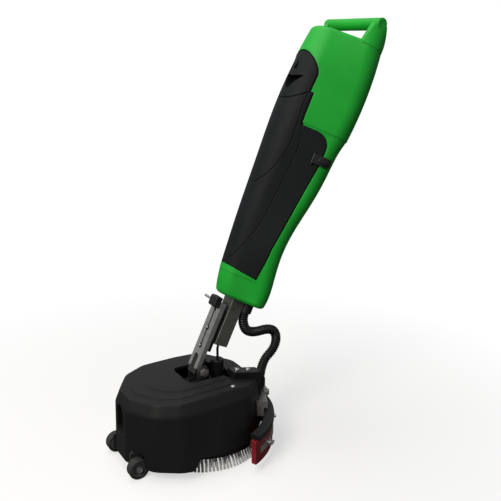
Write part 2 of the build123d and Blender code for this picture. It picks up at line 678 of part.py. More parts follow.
def handle_tube():
    """Rectangular steel tube that carries the body, open at its foot."""
    back = TUBE_FRONT + TUBE_DEPTH
    tube = block(-TUBE_HALF_WIDTH, TUBE_HALF_WIDTH, TUBE_FRONT, back, TUBE_FOOT, TUBE_TOP)
    tube = fillet(tube.edges().filter_by(Axis.Z), TUBE_WALL)
    inside = TUBE_HALF_WIDTH - TUBE_WALL
    tube -= block(-inside, inside, TUBE_FRONT + TUBE_WALL, back - TUBE_WALL, TUBE_FOOT - 1, TUBE_TOP + 1)
    tube -= rod(2.5, (-60, TUBE_FRONT + 12, BODY_FOOT - 24), (60, TUBE_FRONT + 12, BODY_FOOT - 24))
    return lean(tube)


def slide_shoe():
    """Black slide that runs in the rail, fixed to the front of the handle tube."""
    front = -RAIL_OFFSET + RAIL_THICKNESS + FACE_GAP
    shoe = block(-SHOE_HALF_WIDTH, SHOE_HALF_WIDTH, front, TUBE_FRONT, SHOE_FOOT, SHOE_TOP)
    return lean(shoe)


def shoe_studs():
    """Headed studs on the shoe that show in the rail's keyholes."""
    front = -RAIL_OFFSET + RAIL_THICKNESS + FACE_GAP
    studs = []
    for step in (1, 2):
        height = KEYHOLE_TOP - step * KEYHOLE_PITCH
        studs.append(lean(rod(SLOT_WIDTH / 2 - FACE_GAP, (0, -RAIL_OFFSET + 0.5, height), (0, front, height))))
    return Compound([solid for stud in studs for solid in stud.solids()])


def section_sizes(height):
    """Front, rear, half width, nose radius and corner radius of the body at a height along the lean."""
    for low, high in zip(BODY_SECTIONS, BODY_SECTIONS[1:]):
        if height <= high[0]:
            break
    share = (height - low[0]) / (high[0] - low[0])
    return [a + (b - a) * share for a, b in zip(low[1:], high[1:])]


def body_wire(height, inset):
    """Body outline at a height: a narrow round nose with sides that spread to rounded rear corners."""
    front, rear, half_width, nose, corner = section_sizes(height)
    nose_centre = Vector(0, front + nose, height)
    rear_centre = Vector(half_width - corner, rear - corner, height)
    nose -= inset
    corner -= inset
    along = rear_centre - nose_centre
    unit = along.normalized()
    share = (nose - corner) / along.length
    outward = unit * share + Vector(unit.Y, -unit.X, 0) * math.sqrt(1 - share * share)
    side_front = nose_centre + outward * nose
    side_rear = rear_centre + outward * corner
    corner_middle = rear_centre + (outward + Vector(0, 1, 0)).normalized() * corner
    rear_end = rear_centre + Vector(0, corner, 0)

    def flip(point):
        return Vector(-point.X, point.Y, point.Z)

    nose_tip = nose_centre - Vector(0, nose, 0)
    return Wire([
        Edge.make_three_point_arc(flip(side_front), nose_tip, side_front),
        Edge.make_line(side_front, side_rear),
        Edge.make_three_point_arc(side_rear, corner_middle, rear_end),
        Edge.make_line(rear_end, flip(rear_end)),
        Edge.make_three_point_arc(flip(rear_end), flip(corner_middle), flip(side_rear)),
        Edge.make_line(flip(side_rear), flip(side_front)),
    ])


@cache
def body_form(low, high, inset, foot_round=0.0, top_round=0.0):
    """Smooth body between two heights, drawn in by an inset and rounded at its ends."""
    between = [section[0] for section in BODY_SECTIONS if low + 20 < section[0] < high - 20]
    heights = [low + foot_round, *between, high - top_round]
    form = Solid.make_loft([body_wire(height, inset) for height in heights])
    if foot_round:
        form = form + rounded_end(low + foot_round, low, inset, foot_round)
    if top_round:
        form = form + rounded_end(high - top_round, high, inset, top_round)
    return form


def rounded_end(start, end, inset, radius):
    """Quarter-round closing of the body from one height to another."""
    wires = []
    for angle in (0, 30, 60, 90):
        turn = math.radians(angle)
        height = start + (end - start) * math.sin(turn)
        wires.append(body_wire(height, inset + radius * (1 - math.cos(turn))))
    return Solid.make_loft(wires)


def tank_outline(grow):
    """Side outline of the tank's seat in (y, z), enlarged by a clearance. Its floor is square to its pull."""
    low = TANK_REAR_LOW + grow
    high = TANK_REAR_HIGH + grow
    top = HOOD_FOOT - SEAM + grow
    floor = TANK_FLOOR - grow
    return [(-140, floor), (low, floor), (low, TANK_KNEE), (high, TANK_HIP), (high, top), (-140, top)]


def tank_seat(grow):
    """Everything in front of the tank's seat, with its rounded shoulder."""
    prism = side_prism(tank_outline(grow), 200)
    edges = prism.edges().filter_by(Axis.X).sort_by(lambda edge: edge.center().Y + edge.center().Z)
    return fillet(edges[-1], TANK_SHOULDER_RADIUS)


def neck_seat(grow):
    """The neck and round head of the tank, cut straight back from the front."""
    neck = block(-NECK_HALF_WIDTH - grow, NECK_HALF_WIDTH + grow, -140, NECK_REAR + grow,
                 HOOD_FOOT - 20, NECK_TOP + grow)
    return neck + dome_seat(grow)


def dome_seat(grow):
    """The head alone: an arched top, straight sides and a shallow round foot."""
    rear = NECK_REAR + grow
    side = DOME_RADIUS + grow
    arch = rod(side, (0, -140, DOME_HEIGHT), (0, rear, DOME_HEIGHT))
    foot = rod(DOME_FOOT_RADIUS + grow, (0, -140, DOME_FOOT_HEIGHT), (0, rear, DOME_FOOT_HEIGHT))
    return arch + (foot & block(-side, side, -141, rear + 1, HOOD_FOOT, DOME_HEIGHT))


def foot_wedge(grow):
    """Everything under the sloping line of the tank's foot."""
    rear = TANK_REAR_LOW + 1
    return side_prism([(-140, 0), (rear, 0), (rear, TANK_FOOT_REAR + grow), (-140, TANK_FOOT_FRONT + 11 + grow)], 200)


def lower_body():
    """Green lower shell with the tank's seat in its front and a slot in its foot for tube and hose."""
    outer = body_form(BODY_FOOT, HOOD_FOOT, HOOD_LIP / 2, foot_round=BODY_EDGE)
    hollow = body_form(BODY_FOOT + BODY_WALL, HOOD_FOOT + 1, HOOD_LIP / 2 + BODY_WALL)
    shell = outer - (hollow - tank_seat(SEAM + TANK_PARTITION)) - tank_seat(SEAM)
    back = TUBE_FRONT + TUBE_DEPTH
    slot = block(-TUBE_HALF_WIDTH - SEAM, TUBE_HALF_WIDTH + SEAM, TUBE_FRONT - SEAM, back + SEAM,
                 BODY_FOOT - 1, BODY_FOOT + 3 * BODY_WALL)
    cuff = rod(CUFF_RADIUS + SEAM / 2, (HOSE_X, CUFF_SET_BACK, 0), (HOSE_X, CUFF_SET_BACK, BODY_FOOT + 3 * BODY_WALL))
    return lean(shell - slot - cuff)


def upper_hood():
    """Green hood over the vacuum motor, with the seat of the tank's neck and head in its front."""
    outer = body_form(HOOD_FOOT, BODY_TOP, 0, top_round=HOOD_EDGE)
    hollow = body_form(HOOD_FOOT - 1, BODY_TOP - BODY_WALL, BODY_WALL, top_round=HOOD_EDGE)
    shell = outer - hollow
    liner = neck_seat(SEAM + TANK_PARTITION) & body_form(HOOD_FOOT, BODY_TOP - HOOD_EDGE, BODY_WALL / 2)
    shell = shell + liner - neck_seat(SEAM)
    rim = body_form(HOOD_FOOT - 1, HOOD_FOOT + HOOD_REVEAL, -1)
    reveal = rim - body_form(HOOD_FOOT - 1, HOOD_FOOT + HOOD_REVEAL, HOOD_REVEAL_DEPTH)
    return lean(shell - reveal - panel_place(SEAM / 2))


def groove(points):
    """Cutter for a shallow moulded line down the tank's left front, through points across and up its side."""
    plane = Plane(origin=(0, 0, 0), x_dir=(0.6, 0.8, 0), z_dir=(0.8, -0.6, 0))
    band = extrude(plane * trace(Spline(*points), GROOVE_WIDTH), 200)
    return band - body_form(BODY_FOOT, BODY_TOP, HOOD_LIP / 2 + GROOVE_DEPTH)


def rim_step(inside):
    """Cutter for the step round a rim: the skin outside a shape."""
    return side_skin(-REBATE_DEPTH, 1) - inside


def tank():
    """Black clean water tank with its neck and moulded lines, filling the seat in the body's front."""
    form = body_form(BODY_FOOT, BODY_TOP, HOOD_LIP / 2) & (tank_seat(0) + neck_seat(0))
    form = form - dome_seat(SEAM) - foot_wedge(SEAM)
    form = form - rim_step(tank_seat(-REBATE_WIDTH) + neck_seat(-REBATE_WIDTH))
    for line in GROOVE_LINES:
        cutter = groove(line)
        form = form - cutter - mirror(cutter, about=Plane.YZ)
    return lean(form)


def tank_apron():
    """Green wedge under the tank that carries the shell's line round the front and comes off with the tank."""
    return lean(body_form(BODY_FOOT, BODY_TOP, HOOD_LIP / 2) & tank_seat(0) & foot_wedge(0))


def filler_cap():
    """Round head of the tank with a teardrop hole and a triangular finger recess."""
    form = body_form(BODY_FOOT, BODY_TOP, HOOD_LIP / 2) & dome_seat(0)
    form = form - rim_step(dome_seat(-REBATE_WIDTH))
    face = Plane(origin=(0, -100, DOME_HEIGHT), x_dir=(1, 0, 0), z_dir=(0, 1, 0))
    drop = make_face(Polyline((-5.5, 10), (0, 29), (5.5, 10), close=True)) + Pos(0, 9) * Circle(5.5)
    form -= extrude(face * mirror(drop, about=Plane.XZ), 56)
    notch = make_face(Polyline((-33, -6), (0, -12), (33, -6), (4, -43), (-4, -43), close=True))
    form -= extrude(face * mirror(notch, about=Plane.XZ), 62)
    return lean(form)


def hose_cuff():
    """Smooth thick cuff where the hose leaves the body's foot."""
    top = BODY_FOOT + 8
    cuff = rod(CUFF_RADIUS, (HOSE_X, CUFF_SET_BACK, BODY_FOOT - CUFF_LENGTH), (HOSE_X, CUFF_SET_BACK, top))
    bore = rod(HOSE_RADIUS + HOSE_FIT, (HOSE_X, CUFF_SET_BACK, 0), (HOSE_X, CUFF_SET_BACK, top + 1))
    return lean(cuff - bore)


def tube_bulkhead():
    """Bulkhead inside the body's foot that grips the top of the handle tube."""
    inside = body_form(BODY_FOOT + BODY_WALL, HOOD_FOOT + 1, HOOD_LIP / 2 + BODY_WALL + RUN_GAP)
    plate = inside & block(-200, 200, -200, 200, TUBE_TOP - BULKHEAD_HEIGHT, TUBE_TOP)
    back = TUBE_FRONT + TUBE_DEPTH
    hole = block(-TUBE_HALF_WIDTH, TUBE_HALF_WIDTH, TUBE_FRONT, back, 0, TUBE_TOP + 1)
    duct = rod(HOSE_BORE_RADIUS, (HOSE_X, CUFF_SET_BACK, 0), (HOSE_X, CUFF_SET_BACK, 300))
    return lean(plate - tank_seat(SEAM + TANK_PARTITION + RUN_GAP) - hole - duct)


def battery_pack():
    """Battery behind the tank, against the rear wall at the body's waist."""
    width, depth, height = BATTERY_SIZE
    rear = section_sizes(TANK_KNEE + 10)[1] - BODY_WALL - HOOD_LIP / 2 - FACE_GAP
    pack = block(-width / 2, width / 2, rear - depth, rear, TANK_KNEE - 50, TANK_KNEE - 50 + height)
    return lean(fillet(pack.edges().filter_by(Axis.Z), 4))


def motor_shelf():
    """Shelf across the hood that carries the vacuum motor."""
    low = HOOD_FOOT + 12
    inside = body_form(HOOD_FOOT - 1, BODY_TOP - BODY_WALL, BODY_WALL + RUN_GAP, top_round=HOOD_EDGE)
    plate = inside & block(-200, 200, -200, 200, low, low + SHELF_THICKNESS)
    return lean(plate - neck_seat(SEAM + TANK_PARTITION + RUN_GAP))


def vacuum_motor():
    """Vacuum motor and fan can standing on its shelf."""
    low = HOOD_FOOT + 12 + SHELF_THICKNESS
    centre = NECK_REAR + TANK_PARTITION + VACUUM_RADIUS + 16
    can = Pos(0, centre, low) * Cylinder(VACUUM_RADIUS, VACUUM_HEIGHT, align=UP)
    can = chamfer(can.edges().group_by(Axis.Z)[-1], 6)
    return lean(can)


def panel_seat():
    """Place of the control panel on the hood's sloping rear face."""
    half = PANEL_SIZE[2] / 2
    low = section_sizes(PANEL_HEIGHT - half)[1]
    high = section_sizes(PANEL_HEIGHT + half)[1]
    tilt = math.degrees(math.atan2(low - high, 2 * half))
    return Pos(0, (low + high) / 2, PANEL_HEIGHT) * Rot(tilt, 0, 0)


def panel_place(grow):
    """Control panel's block on the hood's rear face, enlarged by a clearance."""
    width, depth, height = PANEL_SIZE
    return panel_seat() * Box(width + 2 * grow, depth + 2 * grow, height + 2 * grow)


def button_rod(side, radius, start, end):
    """Round bar along the panel's normal at one of its two buttons."""
    x = side * BUTTON_SPACING / 2
    return panel_seat() * rod(radius, (x, start, 0), (x, end, 0))


def control_panel():
    """Panel plate with two wells for the buttons."""
    half = PANEL_SIZE[1] / 2
    panel = panel_place(0)
    for side in (-1, 1):
        panel -= button_rod(side, BUTTON_RADIUS + FACE_GAP, -half - 1, half + 1)
    return lean(panel)


def push_button(side):
    """Round push button in its well, standing proud by a little more than its travel."""
    half = PANEL_SIZE[1] / 2
    return lean(button_rod(side, BUTTON_RADIUS, -half + BUTTON_TRAVEL + FACE_GAP, half + BUTTON_TRAVEL + 1))


def power_button():
    """Button on the machine's left."""
    return push_button(1)


def brush_button():
    """Button on the machine's right."""
    return push_button(-1)


def grip_handle():
    """D-shaped grip: a round cross bar on two arms that rise from the hood's rear corners."""
    half_width = section_sizes(BODY_TOP)[2]
    inner = half_width - GRIP_ARM_WIDTH
    rear = section_sizes(BODY_TOP)[1]
    foot = [(inner, GRIP_ARM_FRONT), (half_width, GRIP_ARM_FRONT), (half_width, rear), (inner, rear)]
    head_front = GRIP_SET_BACK - GRIP_RADIUS
    head_rear = GRIP_SET_BACK + GRIP_RADIUS
    head = [(inner + 2, head_front), (half_width, head_front), (half_width, head_rear), (inner + 2, head_rear)]
    low = BODY_TOP - HOOD_EDGE
    wires = [
        Wire.make_polygon([(x, y, low) for x, y in foot], close=True),
        Wire.make_polygon([(x, y, GRIP_HEIGHT) for x, y in head], close=True),
    ]
    arm = Solid.make_loft(wires, ruled=True)
    outline = extrude(Face(body_wire(low, 0.0)), GRIP_HEIGHT - low + GRIP_RADIUS)
    knuckle = rod(GRIP_RADIUS, (inner, GRIP_SET_BACK, GRIP_HEIGHT), (half_width - 1, GRIP_SET_BACK, GRIP_HEIGHT))
    arm = (arm & outline) + fillet(knuckle.edges().group_by(Axis.X)[-1], 3)
    arm -= body_form(HOOD_FOOT, BODY_TOP, -RUN_GAP, top_round=HOOD_EDGE)
    bar = rod(GRIP_RADIUS, (-inner - 4, GRIP_SET_BACK, GRIP_HEIGHT), (inner + 4, GRIP_SET_BACK, GRIP_HEIGHT))
    return lean(arm + mirror(arm, about=Plane.YZ) + bar)


# Buckles


def side_outward():
    """Start of the rear corner and outward direction of the body's left side at the buckle's height."""
    front, rear, half_width, nose, corner = section_sizes(BUCKLE_HEIGHT)
    nose_centre = Vector(0, front + nose)
    rear_centre = Vector(half_width - corner, rear - corner)
    unit = (rear_centre - nose_centre).normalized()
    share = (nose - corner) / (rear_centre - nose_centre).length
    outward = unit * share + Vector(unit.Y, -unit.X) * math.sqrt(1 - share * share)
    return rear_centre + outward * corner, outward


def buckle_hinge():
    """Point on the left buckle's hinge axis, half its thickness behind its front end."""
    wall, outward = side_outward()
    along = Vector(-outward.Y, outward.X)
    middle = BUCKLE_THICKNESS / 2
    forward = BUCKLE_FORWARD + middle
    return wall + along * ((forward - wall.Y) / along.Y) + outward * (2 * FACE_GAP + middle - HOOD_LIP / 2)


def side_patch(length, width, forward):
    """Rounded bar along X whose outline is a patch of the body's side at the buckle."""
    plane = Plane(origin=(0, forward + length / 2, BUCKLE_HEIGHT), x_dir=(0, 1, 0), z_dir=(1, 0, 0))
    return extrude(plane * RectangleRounded(length, width, 4), 200)


def side_skin(near, far):
    """Layer over the body between two distances from its surface."""
    outer = body_form(BODY_FOOT, BODY_TOP, HOOD_LIP / 2 - far)
    return outer - body_form(BODY_FOOT, BODY_TOP, HOOD_LIP / 2 - near)


@cache
def buckle():
    """Curved buckle that lies on the left side, from its round knuckle on the tank to the shell's rear corner."""
    low = 2 * FACE_GAP
    high = low + BUCKLE_THICKNESS
    plate = side_skin(low, high) & side_patch(BUCKLE_LENGTH, BUCKLE_WIDTH, BUCKLE_FORWARD)
    rib = side_skin(high - 0.5, high + 2) & side_patch(BUCKLE_LENGTH - 16, 9.5, BUCKLE_FORWARD + 12)
    hinge = buckle_hinge()
    outward = side_outward()[1]
    turn = math.degrees(math.atan2(outward.Y, outward.X))
    ahead = Pos(hinge.X, hinge.Y, 0) * Rot(0, 0, turn) * block(-50, 50, -100, 0, 0, BODY_TOP)
    half = BUCKLE_WIDTH / 2
    ends = [(hinge.X, hinge.Y, BUCKLE_HEIGHT + side * half) for side in (-1, 1)]
    knuckle = rod(BUCKLE_THICKNESS / 2, *ends)
    bore = rod(BUCKLE_PIN_RADIUS + RUN_GAP, (hinge.X, hinge.Y, 0), (hinge.X, hinge.Y, BODY_TOP))
    return plate - ahead + knuckle + rib - bore


def left_buckle():
    """Buckle on the machine's left."""
    return lean(buckle())


def right_buckle():
    """Buckle on the machine's right."""
    return mirror(left_buckle(), about=Plane.YZ)


def buckle_pins():
    """Hinge pins of both buckles, each held between two lugs on the tank."""
    half = BUCKLE_WIDTH / 2
    reach = half + 4
    hinge = buckle_hinge()
    low = BUCKLE_HEIGHT - reach
    high = BUCKLE_HEIGHT + reach
    pin = rod(BUCKLE_PIN_RADIUS, (hinge.X, hinge.Y, low), (hinge.X, hinge.Y, high))
    lug = rod(BUCKLE_THICKNESS / 2, (hinge.X, hinge.Y, high - 3), (hinge.X, hinge.Y, high))
    lug += block(hinge.X - 9, hinge.X, hinge.Y - 2.5, hinge.Y + 2.5, high - 3, high)
    lower_lug = Pos(0, 0, low - high + 3) * lug
    form = body_form(BODY_FOOT, BODY_TOP, HOOD_LIP / 2)
    return lean(both_sides(pin + lug + lower_lug - form))


# Squeegee


def sector(inner, outer, half_span, z0, z1):
    """Curved bar about the squeegee's centre, symmetric about its rear middle."""
    start = 90 - half_span
    outer_arc = CenterArc((0, SQUEEGEE_CENTRE_Y), outer, start, 2 * half_span)
    inner_arc = CenterArc((0, SQUEEGEE_CENTRE_Y), inner, start, 2 * half_span)
    ends = [Line(outer_arc @ 0, inner_arc @ 0), Line(outer_arc @ 1, inner_arc @ 1)]
    face = make_face(Curve() + [outer_arc, inner_arc, *ends])
    return Pos(0, 0, z0) * extrude(face, z1 - z0)


def arc_y(radius, x):
    """Distance behind the brush axis of an arc about the squeegee's centre."""
    return SQUEEGEE_CENTRE_Y + math.sqrt(radius * radius - x * x)


def outer_blade():
    """Red rear blade, turned in at both tips."""
    low = SQUEEGEE_RAISE
    high = low + BLADE_HEIGHT
    blade = sector(SQUEEGEE_RADIUS - BLADE_THICKNESS, SQUEEGEE_RADIUS, SQUEEGEE_HALF_SPAN, low, high)
    tip = sector(SQUEEGEE_RADIUS - BLADE_SPACING - BLADE_THICKNESS, SQUEEGEE_RADIUS - 1, SQUEEGEE_HALF_SPAN, low, high)
    tip -= sector(0.3 * SQUEEGEE_RADIUS, 2 * SQUEEGEE_RADIUS, SQUEEGEE_HALF_SPAN - 1, low - 1, high + 1)
    return blade + tip


def inner_blade():
    """Red front blade with drain slots along its foot."""
    low = SQUEEGEE_RAISE
    outer = SQUEEGEE_RADIUS - BLADE_SPACING
    span = SQUEEGEE_HALF_SPAN - 1.2
    blade = sector(outer - BLADE_THICKNESS, outer, span, low, low + BLADE_HEIGHT)
    count = 17
    for index in range(count):
        turn = Rot(0, 0, (index - (count - 1) / 2) * 2 * (span - 4) / (count - 1))
        gap = block(-2, 2, outer - 3 * BLADE_THICKNESS, outer + BLADE_THICKNESS, low - 1, low + 5)
        blade -= Pos(0, SQUEEGEE_CENTRE_Y, 0) * turn * gap
    return blade


def squeegee_body():
    """Curved black head that grips both blades and carries the guide posts."""
    top = SQUEEGEE_TOP
    low = SQUEEGEE_RAISE + BLADE_HEIGHT
    span = SQUEEGEE_HALF_SPAN - 2
    head = sector(BLADE_MIDDLE - 14, BLADE_MIDDLE + 10, span, low, top)
    head = chamfer(head.edges().group_by(Axis.Z)[-1].filter_by(GeomType.CIRCLE), 3)
    outer = SQUEEGEE_RADIUS - BLADE_THICKNESS
    core = sector(SQUEEGEE_RADIUS - BLADE_SPACING, outer, span, low - SQUEEGEE_CORE_DEPTH, low)
    mouth = rod(HOSE_BORE_RADIUS, (HOSE_X, PIPE_Y, low - 1), (HOSE_X, PIPE_Y, top + 1))
    return head + core - mouth


def blade_strap():
    """Plated steel strip that clamps the rear blade."""
    low = SQUEEGEE_RAISE + STRAP_LIFT
    inner = SQUEEGEE_RADIUS
    return sector(inner, inner + STRAP_THICKNESS, SQUEEGEE_HALF_SPAN - 5, low, low + STRAP_HEIGHT)


def wing_knobs():
    """Knobs that tighten the strap."""
    z = SQUEEGEE_RAISE + STRAP_LIFT + STRAP_HEIGHT / 2
    start = SQUEEGEE_RADIUS + STRAP_THICKNESS + 0.2
    knob = rod(KNOB_RADIUS, (0, start, z), (0, start + 4, z)) + rod(3, (0, start, z), (0, start + 10, z))
    knob += block(-KNOB_RADIUS, KNOB_RADIUS, start + 3, start + 12, z - 2, z + 2)
    knobs = [Pos(0, SQUEEGEE_CENTRE_Y, 0) * Rot(0, 0, angle) * knob for angle in KNOB_ANGLES]
    return Compound([solid for item in knobs for solid in item.solids()])


def guide_posts():
    """Two round-ended posts on the squeegee head that slide in the hanger."""
    y = arc_y(BLADE_MIDDLE, POST_HALF_SPACING)
    high = HANGER_Z + HANGER_HEIGHT / 2 + SQUEEGEE_DROP
    post = rod(POST_RADIUS, (POST_HALF_SPACING, y, SQUEEGEE_TOP), (POST_HALF_SPACING, y, high))
    return both_sides(fillet(post.edges().group_by(Axis.Z)[-1], 2))


def squeegee_hanger():
    """Plated bracket behind the cover with two upright cheeks, in which the squeegee's posts slide."""
    low = HANGER_Z
    high = HANGER_Z + HANGER_HEIGHT
    plate = sector(HANGER_INNER, HANGER_OUTER, HANGER_HALF_SPAN, low, high)
    post_y = arc_y(BLADE_MIDDLE, POST_HALF_SPACING)
    reach = BLADE_MIDDLE - 14 - FACE_GAP
    cheek = block(-CHEEK_THICKNESS, 0, HANGER_INNER, reach, low - CHEEK_DROP, high + CHEEK_RISE)
    cheek += block(-CHEEK_THICKNESS, 0, HANGER_INNER, HANGER_OUTER, low, high + CHEEK_RISE)
    cheek = Pos(0, SQUEEGEE_CENTRE_Y, 0) * Rot(0, 0, -HANGER_HALF_SPAN) * cheek
    plate += cheek + mirror(cheek, about=Plane.YZ)
    for side in (-1, 1):
        x = side * POST_HALF_SPACING
        plate += rod(POST_RADIUS + 6, (x, post_y, low), (x, post_y, high))
        plate += block(x - 11, x + 11, post_y - 20, post_y, low, high)
        plate -= rod(POST_RADIUS + RUN_GAP, (x, post_y, low - 1), (x, post_y, high + 1))
    plate -= deck_form(-SEAM, 0)
    return plate - rod(PIPE_RADIUS + 2, (HOSE_X, PIPE_Y, low - 1), (HOSE_X, PIPE_Y, high + 1))


def lift_arm():
    """Black arm that lies on the cover's sloping rear and turns down to the hanger."""
    x0 = LIFT_ARM_X - LIFT_ARM_WIDTH / 2
    x1 = LIFT_ARM_X + LIFT_ARM_WIDTH / 2
    length = (LIFT_ARM_REAR - LIFT_ARM_FRONT) / math.cos(math.radians(REAR_SLOPE_ANGLE))
    strap = block(x0, x1, 0, length, 0, LIFT_ARM_THICKNESS)
    strap = Pos(0, LIFT_ARM_FRONT, slope_z(LIFT_ARM_FRONT)) * Rot(-REAR_SLOPE_ANGLE, 0, 0) * strap
    leg_top = slope_z(LIFT_ARM_REAR) + LIFT_ARM_THICKNESS
    leg = block(x0, x1, LIFT_ARM_REAR - LIFT_ARM_THICKNESS, LIFT_ARM_REAR + 1.2, HANGER_Z + HANGER_HEIGHT, leg_top)
    return (strap + leg) - deck_form(0, 0)


def arm_screws():
    """Two bright screws that fix the arm to the cover."""
    seat = Pos(0, LIFT_ARM_FRONT, slope_z(LIFT_ARM_FRONT)) * Rot(-REAR_SLOPE_ANGLE, 0, 0)
    heads = []
    for share in (0.2, 0.62):
        along = share * (LIFT_ARM_REAR - LIFT_ARM_FRONT)
        head = Pos(LIFT_ARM_X, along, LIFT_ARM_THICKNESS) * Cylinder(6, 4, align=UP)
        heads.append(seat * fillet(head.edges().group_by(Axis.Z)[-1], 1.5))
    return Compound([solid for head in heads for solid in head.solids()])


def suction_pipe():
    """Upright pipe on the squeegee head that takes the hose's lower end."""
    pipe = rod(PIPE_RADIUS, (HOSE_X, PIPE_Y, SQUEEGEE_TOP), (HOSE_X, PIPE_Y, PIPE_TOP))
    flange = rod(PIPE_RADIUS + 4, (HOSE_X, PIPE_Y, SQUEEGEE_TOP), (HOSE_X, PIPE_Y, SQUEEGEE_TOP + 4))
    return pipe + flange - rod(HOSE_RADIUS + HOSE_FIT, (HOSE_X, PIPE_Y, 0), (HOSE_X, PIPE_Y, PIPE_TOP + 1))


def hose_route():
    """Corners of the hose's centre line from inside the cuff to inside the squeegee's pipe."""
    top = lean_point(HOSE_X, CUFF_SET_BACK, BODY_FOOT + 26)
    bend = lean_point(HOSE_X, CUFF_SET_BACK, BODY_FOOT - CUFF_LENGTH - 21)
    return [
        (HOSE_X, top.Y, top.Z),
        (HOSE_X, bend.Y, bend.Z),
        (HOSE_X, bend.Y + 17, bend.Z - 40),
        (HOSE_X, PIPE_Y + 44, bend.Z - 36),
        (HOSE_X, PIPE_Y + 52, bend.Z - 89),
        (HOSE_X, PIPE_Y, PIPE_TOP + 38),
        (HOSE_X, PIPE_Y, PIPE_TOP - 26),
    ]


def suction_hose():
    """Ribbed suction hose with a smooth bore."""
    line = route_line(hose_route())
    count = round(line.length / HOSE_RIB_PITCH)
    valley = HOSE_RADIUS - HOSE_GROOVE
    wires = []
    for rib in range(count):
        for share, radius in ((0.0, valley), (0.2, valley), (0.45, HOSE_RADIUS), (0.75, HOSE_RADIUS)):
            place = (rib + share) / count
            plane = Plane(origin=line @ place, x_dir=(1, 0, 0), z_dir=line % place)
            wires.append(Wire.make_circle(radius, plane))
    wires.append(Wire.make_circle(valley, Plane(origin=line @ 1, x_dir=(1, 0, 0), z_dir=line % 1)))
    ribs = Solid.make_loft(wires, ruled=True)
    bore = sweep(Plane(origin=line @ 0, z_dir=line % 0) * Circle(HOSE_BORE_RADIUS), path=line)
    hose = ribs - bore
    section = math.pi * ((HOSE_RADIUS - HOSE_GROOVE / 2) ** 2 - HOSE_BORE_RADIUS ** 2)
    print("hose length", round(line.length, 1), "volume share", round(hose.volume / (section * line.length), 3))
    return hose


PIECES = {
    "bristles": bristles,
    "brush_block": brush_block,
    "drive_hub": drive_hub,
    "deck_cover": deck_cover,
    "chassis_plate": chassis_plate,
    "splash_ring": splash_ring,
    "brush_motor": brush_motor,
    "terminal_cap": terminal_cap,
    "pivot_bracket": pivot_bracket,
    "pivot_bolt": pivot_bolt,
    "axle": axle,
    "axle_brackets": axle_brackets,
    "left_tyre": wheel_tyre,
    "left_hub": wheel_hub,
    "right_tyre": right_tyre,
    "right_hub": right_hub,
    "cover_screws": cover_screws,
    "motor_cable": motor_cable,
    "mast_rail": mast_rail,
    "mast_foot": mast_foot,
    "latch_block": latch_block,
    "lock_rod": lock_rod,
    "handle_tube": handle_tube,
    "slide_shoe": slide_shoe,
    "shoe_studs": shoe_studs,
    "lower_body": lower_body,
    "upper_hood": upper_hood,
    "tank": tank,
    "tank_apron": tank_apron,
    "filler_cap": filler_cap,
    "hose_cuff": hose_cuff,
    "tube_bulkhead": tube_bulkhead,
    "battery_pack": battery_pack,
    "motor_shelf": motor_shelf,
    "vacuum_motor": vacuum_motor,
    "control_panel": control_panel,
    "power_button": power_button,
    "brush_button": brush_button,
    "grip_handle": grip_handle,
    "left_buckle": left_buckle,
    "right_buckle": right_buckle,
    "buckle_pins": buckle_pins,
    "outer_blade": outer_blade,
    "inner_blade": inner_blade,
    "squeegee_body": squeegee_body,
    "blade_strap": blade_strap,
    "wing_knobs": wing_knobs,
    "guide_posts": guide_posts,
    "squeegee_hanger": squeegee_hanger,
    "suction_pipe": suction_pipe,
    "suction_hose": suction_hose,
    "lift_arm": lift_arm,
    "arm_screws": arm_screws,
}

os.makedirs("parts", exist_ok=True)
for name, make in PIECES.items():
    export_step(make(), f"parts/{name}.step")
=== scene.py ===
import json
import math
import random

import bmesh
import bpy
from mathutils import Matrix, Vector


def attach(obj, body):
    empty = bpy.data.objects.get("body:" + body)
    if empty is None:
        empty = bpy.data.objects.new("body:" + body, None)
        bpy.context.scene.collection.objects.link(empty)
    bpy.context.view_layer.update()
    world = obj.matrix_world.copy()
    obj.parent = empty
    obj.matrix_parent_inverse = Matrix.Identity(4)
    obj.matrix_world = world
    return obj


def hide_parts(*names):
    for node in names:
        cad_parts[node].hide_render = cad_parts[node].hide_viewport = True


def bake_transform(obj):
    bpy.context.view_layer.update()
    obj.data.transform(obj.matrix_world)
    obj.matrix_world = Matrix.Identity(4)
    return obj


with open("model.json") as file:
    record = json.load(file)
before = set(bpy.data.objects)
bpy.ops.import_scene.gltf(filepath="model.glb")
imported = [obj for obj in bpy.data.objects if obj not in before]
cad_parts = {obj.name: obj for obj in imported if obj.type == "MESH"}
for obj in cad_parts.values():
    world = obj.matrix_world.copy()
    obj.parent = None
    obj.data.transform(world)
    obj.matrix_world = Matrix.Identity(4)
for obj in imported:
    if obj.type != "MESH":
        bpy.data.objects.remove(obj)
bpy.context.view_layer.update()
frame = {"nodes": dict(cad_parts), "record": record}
MM = 0.001
UP = Vector((0, 0, 1))

# The part's own sizes, in millimetres
LEAN = math.radians(26.0)
PIVOT_Y, PIVOT_Z = -8.0, 194.0
HOSE_X, HOSE_RADIUS = 12.0, 12.0
CABLE_RADIUS = 3.0
BRISTLE_LENGTH, BRISTLE_FLARE = 34.0, 18.0
TUFT_SIZE, TUFT_PITCH, TUFT_RING_PITCH, TUFT_RINGS = 5.0, 10.0, 15.0, 6
BLOCK_RADIUS, HUB_RADIUS, BACKING_SLICE = 130.0, 30.0, 4.0

